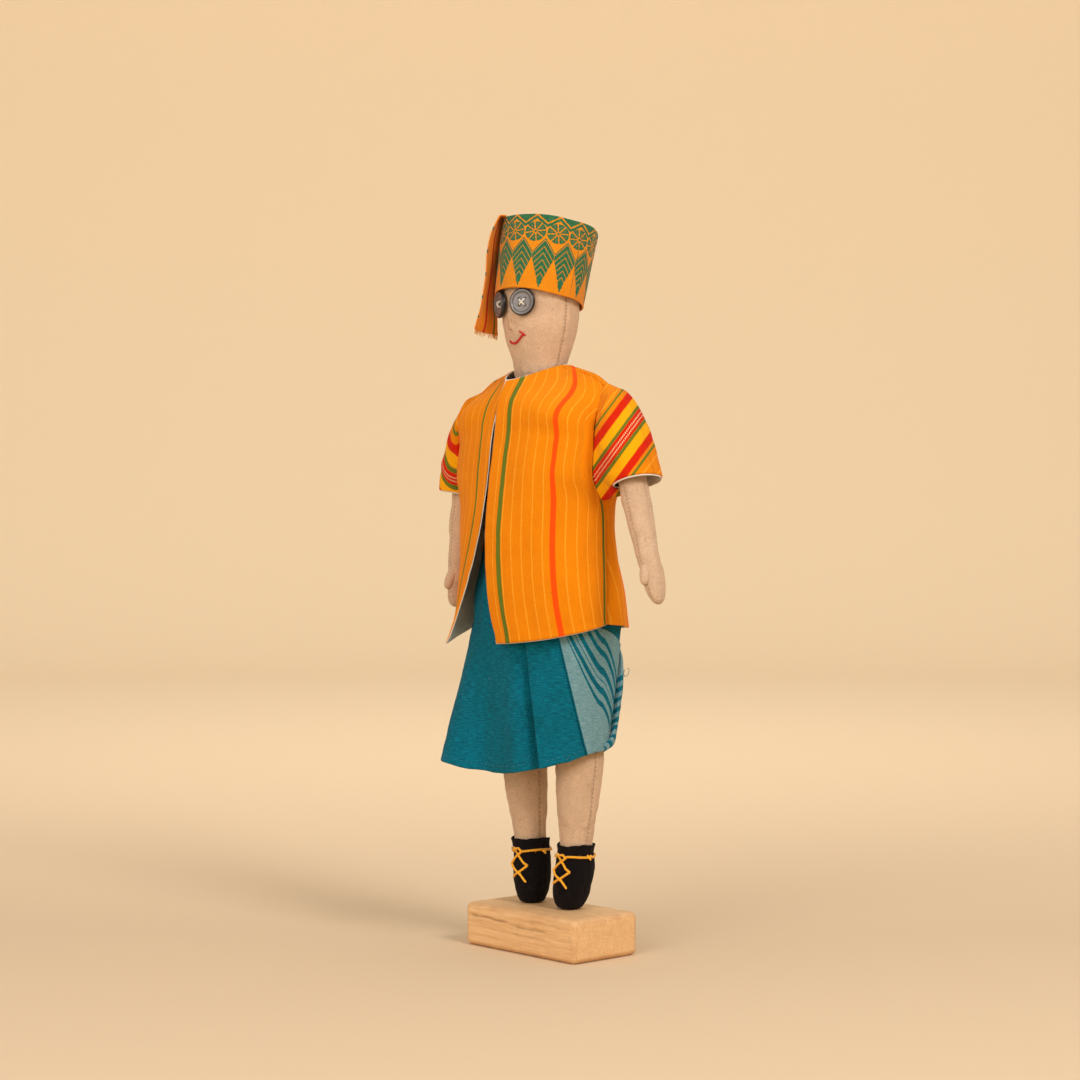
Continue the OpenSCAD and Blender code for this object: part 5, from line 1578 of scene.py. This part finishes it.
def head():
    zs = np.concatenate([np.linspace(265.2, 284, 44), np.linspace(284.5, 300, 56), np.linspace(300.8, 326.7, 40)])
    n = 168
    phi = np.linspace(0, 2 * PI, n, endpoint=False)
    az = (np.degrees(phi) + 90 + 180) % 360 - 180
    Z = np.broadcast_to(zs[:, None], (len(zs), n))
    R = head_r(np.broadcast_to(az[None], Z.shape), Z)
    P = np.stack([HEAD[0] + R * np.cos(phi), HEAD[1] + R * np.sin(phi), Z], -1)
    out = np.stack([np.cos(phi), np.sin(phi), 0 * phi], -1)[None]
    q = vnoise(np.stack([0 * zs, 0 * zs, zs], -1), 1.7, 77)[:, None]
    seam = np.exp(-(((1 - np.abs(np.cos(phi))) / 0.0022) ** 2))[None]
    d = 0.32 * fbm(P, 10, 601) + 0.1 * vnoise(P, 3, 602) - seam * (0.32 + 0.12 * q) + 0.2 * np.exp(-(((1 - np.abs(np.cos(phi))) / 0.012) ** 2))[None] * q
    # gathers where the neck is drawn in
    g = sstep(274, 267, Z)
    d = d + g * 0.35 * np.sin(phi * 17 + 1.3 * np.sin(phi * 3))[None]
    P = P + out * d[..., None]
    uv = np.stack([np.broadcast_to(phi[None] * 17, Z.shape), Z, 0 * Z], -1)
    V, F, W = closed_rings(P, uv)
    ob = piece("head", V, F, [M_CANVAS], "head", ["head_skin"], uv=W)
    parts = []
    for j in (0, n // 2):
        p = P[6:-30, j]
        parts.append(stitches(p, np.broadcast_to([1.0 if j == 0 else -1.0, 0, 0], p.shape), 1.65, 0.95, 0.14, 0.05, 0.3))
    V, F, W = joined(parts)
    piece("head_seam", V, F, [M_SEAM], "head", uv=W)


head()


def eye_frame(side):
    a = math.radians(23 * side)
    o = np.array([HEAD[0], HEAD[1], 300.2])
    rz = np.array([[math.cos(a), -math.sin(a), 0], [math.sin(a), math.cos(a), 0], [0, 0, 1]])
    x, y, z = rz @ [1, 0, 0], rz @ [0, 0, 1], rz @ [0, -1, 0]
    return o + z * 18.5, np.stack([x, y, z], 1)


def button(side):
    name = "left" if side > 0 else "right"
    prof = np.array([[0.02, 0.0], [3, 0], [5.3, 0.0], [5.9, 0.3], [6.3, 0.9], [6.4, 1.35], [6.3, 1.85], [6.05, 2.2], [5.7, 2.38], [5.3, 2.4], [4.95, 2.3], [4.65, 2.05], [4.3, 1.85], [3.9, 1.78], [2, 1.76], [0.02, 1.76]])
    i = np.linspace(0, len(prof) - 1, 70)
    pr = herm(np.arange(len(prof)), prof, i)
    n = 96
    phi = np.linspace(0, 2 * PI, n, endpoint=False)
    P = np.stack([pr[:, :1] * np.cos(phi), pr[:, :1] * np.sin(phi), np.broadcast_to(pr[:, 1:], (len(pr), n))], -1)
    V, F, W = closed_rings(P)
    me = bpy.data.meshes.new("b")
    me.from_pydata(V.tolist(), [], [list(map(int, f)) for f in F])
    tmp = bpy.data.objects.new("b", me)
    bpy.context.scene.collection.objects.link(tmp)
    bm = bmesh.new()
    for a in (45, 135, 225, 315):
        bmesh.ops.create_cone(bm, cap_ends=True, segments=36, radius1=0.75, radius2=0.75, depth=8,
                              matrix=Matrix.Translation((2 * math.cos(math.radians(a)), 2 * math.sin(math.radians(a)), 1)))
    cm = bpy.data.meshes.new("c")
    bm.to_mesh(cm)
    bm.free()
    cut = bpy.data.objects.new("c", cm)
    bpy.context.scene.collection.objects.link(cut)
    mod = tmp.modifiers.new("holes", "BOOLEAN")
    mod.operation, mod.object, mod.solver = "DIFFERENCE", cut, "EXACT"
    dg = bpy.context.evaluated_depsgraph_get()
    res = bpy.data.meshes.new_from_object(tmp.evaluated_get(dg))
    L = np.array([v.co[:] for v in res.vertices])
    F = [list(p.vertices) for p in res.polygons]
    for ob in (tmp, cut):
        bpy.data.objects.remove(ob, do_unlink=True)
    for m_ in (me, cm, res):
        bpy.data.meshes.remove(m_)
    o, M = eye_frame(side)
    V = o + L @ M.T
    ob = piece(f"{name}_button", V, F, [M_BUTTON], "head", [f"{name}_eye_button"], uv=L)
    for p in ob.data.polygons:
        p.use_smooth = True
    ob.data.set_sharp_from_angle(angle=math.radians(40))
    # two thick stitches that cross over the holes
    parts = []
    for k, a in enumerate((45, 135)):
        q = np.array([math.cos(math.radians(a)), math.sin(math.radians(a)), 0])
        r = np.linspace(-1, 1, 22)
        for off in (-0.2, 0.2):
            w = np.array([-q[1], q[0], 0]) * off
            h = 1.76 + (0.62 + 0.4 * k) * (1 - np.abs(r) ** 3.2) - 1.2 * np.clip(np.abs(r) - 0.9, 0, 1) * 10 * 0.9
            p = q[None] * (r * 2.05)[:, None] + w + np.array([0, 0, 1.0]) * h[:, None]
            parts.append(tube(o + p @ M.T, 0.22, 10, 1.1, 0.1))
    V, F, W = joined(parts)
    piece(f"{name}_cross_stitch", V, F, [M_CREAM], "head", [f"{name}_eye_thread"], uv=W)


for sd in (1, -1):
    button(sd)


def floss(points, r, lift, m=40, twist=0.5):
    pts = np.array(points, float)
    x = np.arange(len(pts))
    q = herm(x, pts, np.linspace(0, len(pts) - 1, m))
    p = face(q[:, 0], q[:, 1], lift)
    e = np.linspace(-1, 1, m)
    c = np.array([HEAD[0], HEAD[1], 0.0])
    n = unit((p - c) * [1, 1, 0])
    p = p - n * (0.7 * np.clip(np.abs(e) - 0.86, 0, 1) * 7 * 0.9)[:, None]
    return tube(p, r, 12, twist, 0.14, plies=3)


def face_threads():
    V, F, W = joined([floss([[-14.7, 283.2], [-10, 282.3], [-3, 281.9], [3, 282.2], [10, 283.4], [16, 284.9], [19.5, 286.0]], 0.56, 0.32, 60),
                      floss([[12.8, 287.1], [17, 286.4], [22, 285.1]], 0.45, 0.45, 20)])
    piece("smile", V, F, [M_RED], "head", ["mouth_stitch"], uv=W)
    parts = [floss([[-7.4, 288.2], [-7.6, 291], [-7.2, 293.6], [-6.2, 296.2]], 0.3, 0.1, 30)]
    parts.append(floss([[-7.6, 288.3], [-4, 288.0], [-1.0, 288.4]], 0.16, 0.08, 16))
    V, F, W = joined(parts)
    piece("nose_tuck", V, F, [M_NOSE], "head", ["nose_stitch"], uv=W)
    # whipped stitches that join head and body
    parts = []
    k = 34
    for i in range(k):
        a = 2 * PI * i / k
        b = a + 2 * PI / k * 0.75
        q = np.linspace(0, 1, 9)
        ang = a + (b - a) * q
        z = 266.3 - 3.6 * q
        r = 11.2 + 0.55 * np.sin(PI * q) - 0.5 * (np.abs(q - 0.5) > 0.45)
        parts.append(tube(np.stack([HEAD[0] + r * np.cos(ang), HEAD[1] + r * np.sin(ang), z], -1), 0.24, 8, 0.8, 0.1))
    V, F, W = joined(parts)
    piece("neck_whip_stitches", V, F, [M_CREAM], "neck", ["neck_stitching"], uv=W)


face_threads()

# ------------------------------------------------------------------ cap
CAPB = np.array([HEAD[0], HEAD[1] - 1, 302.9])
CT = math.radians(-12.5)
CR = np.array([[1, 0, 0], [0, math.cos(CT), -math.sin(CT)], [0, math.sin(CT), math.cos(CT)]])


def cap_p(L):
    return CAPB + np.asarray(L, float) @ CR.T


def cap():
    n = 280
    phi = np.linspace(0, 2 * PI, n, endpoint=False)
    hs = np.concatenate([np.linspace(-0.3, 34.4, 90)])
    H = np.broadcast_to(hs[:, None], (len(hs), n))
    R = 21 + (22.9 - 21) * H / 34.5 - 0.05
    ph = phi[None]
    R = R + 0.22 * np.sin(ph * 3 + H * 0.09) + 0.16 * np.sin(ph * 7 + 1.2 - H * 0.05) + 0.1 * vnoise(np.stack([np.cos(ph) * 9 + 0 * H, np.sin(ph) * 9 + 0 * H, H * 0.5], -1), 2.4, 701)
    seam = np.exp(-((((ph - 1.75 + PI) % (2 * PI) - PI) / 0.02) ** 2))
    R = R - 0.3 * seam
    top = 0.45 * np.sin(ph * 2 + 0.6) + 0.2 * np.sin(ph * 5)
    Z = H + top * sstep(20, 34, H) + 0.25 * np.sin(ph * 4) * sstep(8, 0, H)
    P = cap_p(np.stack([R * np.cos(ph), R * np.sin(ph), Z], -1).reshape(-1, 3)).reshape(len(hs), n, 3)
    uv = np.stack([13 * (ph / (2 * PI)) + CAP_PHASE + 0 * H, 34.4 - H, (H > 0.8) & (np.abs((ph - 1.75 + PI) % (2 * PI) - PI) > 0.05)], -1).astype(float)
    V, F, G, W = thick(P, 0.75, True, uv)
    W[len(V) // 3 * 0:] = W
    W[P.shape[0] * P.shape[1]: 2 * P.shape[0] * P.shape[1], 2] = 0
    ob = piece("cap_wall", V, F, [M_CAP], "cap", ["cap_band"], uv=W)
    # lid, a little slack between the stitches along the rim
    m = 40
    rr = np.concatenate([np.linspace(0.4, 20.5, m - 6), [21.0, 21.4, 21.7, 21.85, 21.9, 21.9]])
    hh = 33.2 - 0.9 * (1 - (rr / 21.5) ** 2) - 0.5 * np.exp(-(((rr - 20.6) / 0.7) ** 2)) + 0.5 * sstep(21, 21.9, rr)
    nn = 150
    p2 = np.linspace(0, 2 * PI, nn, endpoint=False)[::-1]
    X, Y = rr[:, None] * np.cos(p2), rr[:, None] * np.sin(p2)
    hz = hh[:, None] + 0.3 * vnoise(np.stack([X, Y, 0 * X], -1), 9, 711)
    # tension folds towards the tail
    ang = np.arctan2(Y, X)
    dl = (ang - math.atan2(-0.743, -0.669) + PI) % (2 * PI) - PI
    hz = hz + 0.45 * np.exp(-((dl / 0.5) ** 2)) * np.sin(dl * 22) * (rr[:, None] / 22) ** 2
    Q = cap_p(np.stack([X, Y, hz], -1).reshape(-1, 3)).reshape(m, nn, 3)
    if np.mean(grid_normals(Q, True)[..., 2]) < 0:
        Q = Q[:, ::-1]
    uvq = np.stack([X, Y, 0 * X], -1)
    V, F, G, W = thick(Q, 0.7, True, uvq)
    # close the small ring at the middle
    k0 = list(range(nn))
    F = [list(map(int, f)) for f in F]
    V, F, W = lid_fill(V, F, W, m, nn)
    ob = piece("cap_lid", V, F, [M_TAIL_PLAIN], "cap", ["cap_crown"], uv=W)
    # rim stitches
    a = np.linspace(0.3, 2 * PI + 0.2, 260)
    rim = cap_p(np.stack([22.35 * np.cos(a), 22.35 * np.sin(a), np.full(a.shape, 34.55) + 0.45 * np.sin(a * 2 + 0.6) + 0.2 * np.sin(a * 5)], -1))
    V, F, W = joined([stitches(rim, unit(CR @ [0, 0, 1.0]), 2.0, 1.1, 0.13, 0.0)])
    piece("cap_rim_stitches", V, F, [M_ORANGE_THREAD], "cap", uv=W)


def lid_fill(V, F, W, m, nn):
    """Replaces the tiny hole at the lid's middle with one flat cap on each face."""
    n = m * nn
    top = [i for i in range(nn)]
    bot = [n + i for i in range(nn)]
    loop0 = set(top) | set(bot) | set(range(2 * n, 2 * n + nn))
    keep = [f for f in F if not all(i in loop0 for i in f)]
    edges = {}
    for f in keep:
        for a, b in zip(f, f[1:] + f[:1]):
            edges[(a, b)] = 1
    fwd = (top[0], top[1]) in edges
    keep.append(top[::-1] if fwd else top)
    fwd = (bot[0], bot[1]) in edges
    keep.append(bot[::-1] if fwd else bot)
    used = sorted({i for f in keep for i in f})
    re = {o: k for k, o in enumerate(used)}
    return V[used], [[re[i] for i in f] for f in keep], W[used]


def cap_tail():
    rows = np.array([[286.2, 30.7, 26.8, 20.5], [287, 30.5, 26.6, 20.6], [296, 28.8, 25.6, 21.2], [303, 27.3, 24.9, 21.6], [310, 26.2, 24, 21.2],
                     [325, 25.2, 22.7, 20], [334, 22.8, 21.2, 18.9], [338.5, 20.7, 19.9, 18.5], [341, 19.3, 18.9, 18.0]])
    zs = np.linspace(286.2, 341, 96)
    R = herm(rows[:, 0], rows[:, 1:], zs)
    ss = np.concatenate([np.linspace(-1, 0, 26)[:-1], np.linspace(0, 1, 26)])
    td, tt = np.array([-0.669, -0.743, 0]), np.array([0.743, -0.669, 0])
    P = np.empty((len(zs), len(ss), 3))
    for j, s in enumerate(ss):
        k = s + 0.08 * math.sin(PI * s) * 0
        reach = R[:, 1] * (1 - s) + R[:, 0] * s if s > 0 else R[:, 1] * (1 + s) - R[:, 2] * s
        w = -1 + 6.5 * s if s > 0 else -1 + 8 * s
        # near panel bows out, far panel hangs hollow
        bow = 0.7 * math.sin(PI * max(s, 0)) - 0.5 * math.sin(PI * max(-s, 0))
        x = reach + bow
        P[:, j] = np.array([HEAD[0], HEAD[1], 0]) + td * x[:, None] + tt * w + np.array([0, 0, 1.0]) * zs[:, None]
    wave = 0.35 * fbm(P * [1, 1, 0.5], 12, 801) + 0.25 * np.sin(zs * 0.23)[:, None]
    P = P + td * (wave * sstep(341, 330, zs)[:, None])[..., None]
    P[..., 0:2] += (tt[:2] * (0.5 * np.sin(zs * 0.17 + 1) * sstep(341, 325, zs))[:, None, None])
    P[0, :, 2] += 0.3 * vnoise(np.stack([ss * 8, 0 * ss, 0 * ss], -1), 1.0, 5)
    rise = (1.2 + 2.0 * sstep(-1, 1, ss))[None] * sstep(300, 286, zs)[:, None]
    P[..., 2] += rise
    # over the rim onto the lid
    topc = P[-1].copy()
    ins = [(0.35, 1.0), (1.1, 1.35), (2.2, 1.3), (3.6, 0.95)]
    extra = []
    for dx, dz in ins:
        q = topc - td * dx
        q[:, 2] = topc[:, 2] + dz * 0.75
        extra.append(q)
    P = np.concatenate([P, np.array(extra)])
    ws = np.array([(-1 + 6.5 * s) if s > 0 else (-1 + 8 * s) for s in ss])
    vv = np.concatenate([341 - zs, -np.array([0.5, 1.2, 2.3, 3.7])])
    uv = np.stack([np.broadcast_to(ws[None], P.shape[:2]), np.broadcast_to(vv[:, None], P.shape[:2]), 0 * P[..., 0]], -1)
    V, F, G, W = thick(P, 0.55, False, uv)
    ob = piece("cap_tail_cloth", V, F, [M_TAIL], None, ["cap_tail"], uv=W)
    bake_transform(ob)
    parts = []
    rng = np.random.default_rng(4)
    for j in range(0, len(ss), 1):
        p = P[0, j]
        L = rng.uniform(1.2, 3.4)
        dx, dy = rng.uniform(-0.5, 0.5), rng.uniform(-0.25, 0.25)
        q = np.linspace(0, 1, 7)[:, None]
        path = p - td * 0.3 + np.array([0, 0, 0.5]) + q * np.array([0, 0, -L]) + (q**2) * (tt * dx + td * dy)
        parts.append(tube(path, rng.uniform(0.08, 0.14), 5))
    for j in (len(ss) - 1,):
        for i in range(2, 90, 3):
            p = P[i, j] - tt * 0.2
            q = np.linspace(0, 1, 5)[:, None]
            parts.append(tube(p + q * tt * rng.uniform(0.3, 0.7) + q * np.array([0, 0, rng.uniform(-0.3, 0.3)]), 0.09, 5))
    V, F, W = joined(parts)
    piece("cap_tail_fringe", V, F, [M_ORANGE_THREAD], "tail", uv=W)


CAP_PHASE = 0.1
M_TAIL_PLAIN = M_CAP
cap()
cap_tail()

# ------------------------------------------------------------------ carried-over nodes
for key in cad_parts:
    ob = bpy.data.objects.get(key)
    if ob is None or ob.type != "MESH":
        continue
    mat = M_STEEL if "wire" in key else M_STUFF if "stuffing" in key else M_JOINT if "shoulder_thread" in key else None
    if mat is not None:
        if not ob.material_slots:
            ob.data.materials.append(mat)
        for slot in ob.material_slots:
            slot.material = mat

# ------------------------------------------------------------------ floor, light, camera
VIEW = np.array([-0.7408, 0.6717, 0.0])
SIDE = np.array([0.6717, 0.7408, 0.0])


def stage():
    """A seamless round sweep of paper that stands well clear of the object on every side; its colour is painted lighter
    away from the middle, painted light for the far wall that the lamps reach less.
    """
    prof = [(0.0, 0.0), (0.4, 0.0), (0.9, 0.0), (1.5, 0.0), (2.2, 0.0)]
    R = 1.3
    for a in np.linspace(0, PI / 2, 22)[1:]:
        prof.append((2.2 + R * math.sin(a), R - R * math.cos(a)))
    prof.append((2.2 + R, 2.2))
    n = 128
    V, F = [(0.0, 0.0, 0.0)], []
    for r, z in prof[1:]:
        for k in range(n):
            V.append((r * math.cos(2 * PI * k / n), r * math.sin(2 * PI * k / n), z))
    for k in range(n):
        F.append((0, 1 + k, 1 + (k + 1) % n))
    for i in range(len(prof) - 2):
        for k in range(n):
            p, q = 1 + i * n + k, 1 + i * n + (k + 1) % n
            F.append((p, p + n, q + n, q))
    me = bpy.data.meshes.new("paper_sweep")
    me.from_pydata(V, [], F)
    ob = bpy.data.objects.new("paper_sweep", me)
    bpy.context.scene.collection.objects.link(ob)
    for p in me.polygons:
        p.use_smooth = True
    N = Nodes("paper_painted_light")
    x, y, z = N.xyz(N.t.nodes.new("ShaderNodeTexCoord").outputs["Object"])
    r = N.m("SQRT", N.add(N.mul(x, x), N.mul(y, y)))
    # painted light: the paper's colour grows lighter from PAPER near the middle to the far colour on the wall
    me.materials.append(N.done(N.mix(N.remap(r, 0.5, 3.0, 0, 1, True), srgb(*PAPER), srgb(*FAR_PAINTED_LIGHT)), 0.9, None, spec=0.1))


FAR_PAINTED_LIGHT = (248, 226, 191)
PAPER = (221, 196, 162)
stage()


def area(name, where, at, size, power, color, spread=None):
    d = bpy.data.lights.new(name, "AREA")
    d.shape, d.size, d.energy, d.color = "DISK", size, power, color
    ob = bpy.data.objects.new(name, d)
    ob.location = tuple(where)
    ob.rotation_euler = Vector(tuple(np.array(at, float) - np.array(where, float))).to_track_quat("-Z", "Y").to_euler()
    bpy.context.scene.collection.objects.link(ob)
    return ob


AT = np.array([0.0, 0.0, 0.17])
area("key", AT - VIEW * 1.0 + SIDE * 0.7 + [0, 0, 0.8], AT, 0.5, 10.5, (1.0, 0.985, 0.96))
area("fill", AT - VIEW * 1.15 - SIDE * 0.75 + [0, 0, 0.45], AT, 1.0, 9.0, (1.0, 0.985, 0.97))
area("backdrop", AT + VIEW * 0.4 + [0, 0, 1.35], AT + VIEW * 3.0 + [0, 0, 0.75], 1.0, 27.0, (1.0, 0.99, 0.97))
area("top", AT + [0, 0, 1.2], AT, 1.2, 3.0, (1.0, 0.99, 0.97))

world = bpy.context.scene.world or bpy.data.worlds.new("World")
bpy.context.scene.world = world
world.use_nodes = True
bg = world.node_tree.nodes.get("Background")
bg.inputs[0].default_value = (1.0, 0.965, 0.94, 1)
bg.inputs[1].default_value = 0.48

cam = bpy.data.cameras.new("camera")
cam.lens, cam.sensor_width, cam.sensor_fit = 75.8, 36.0, "AUTO"
cam.clip_start, cam.clip_end = 0.01, 50
co = bpy.data.objects.new("camera", cam)
co.location = (0.78307, -0.71666, 0.191)
co.rotation_euler = Vector((-0.7408, 0.6717, 0)).to_track_quat("-Z", "Y").to_euler()
bpy.context.scene.collection.objects.link(co)
bpy.context.scene.camera = co
bpy.context.scene.view_settings.view_transform = "Standard"
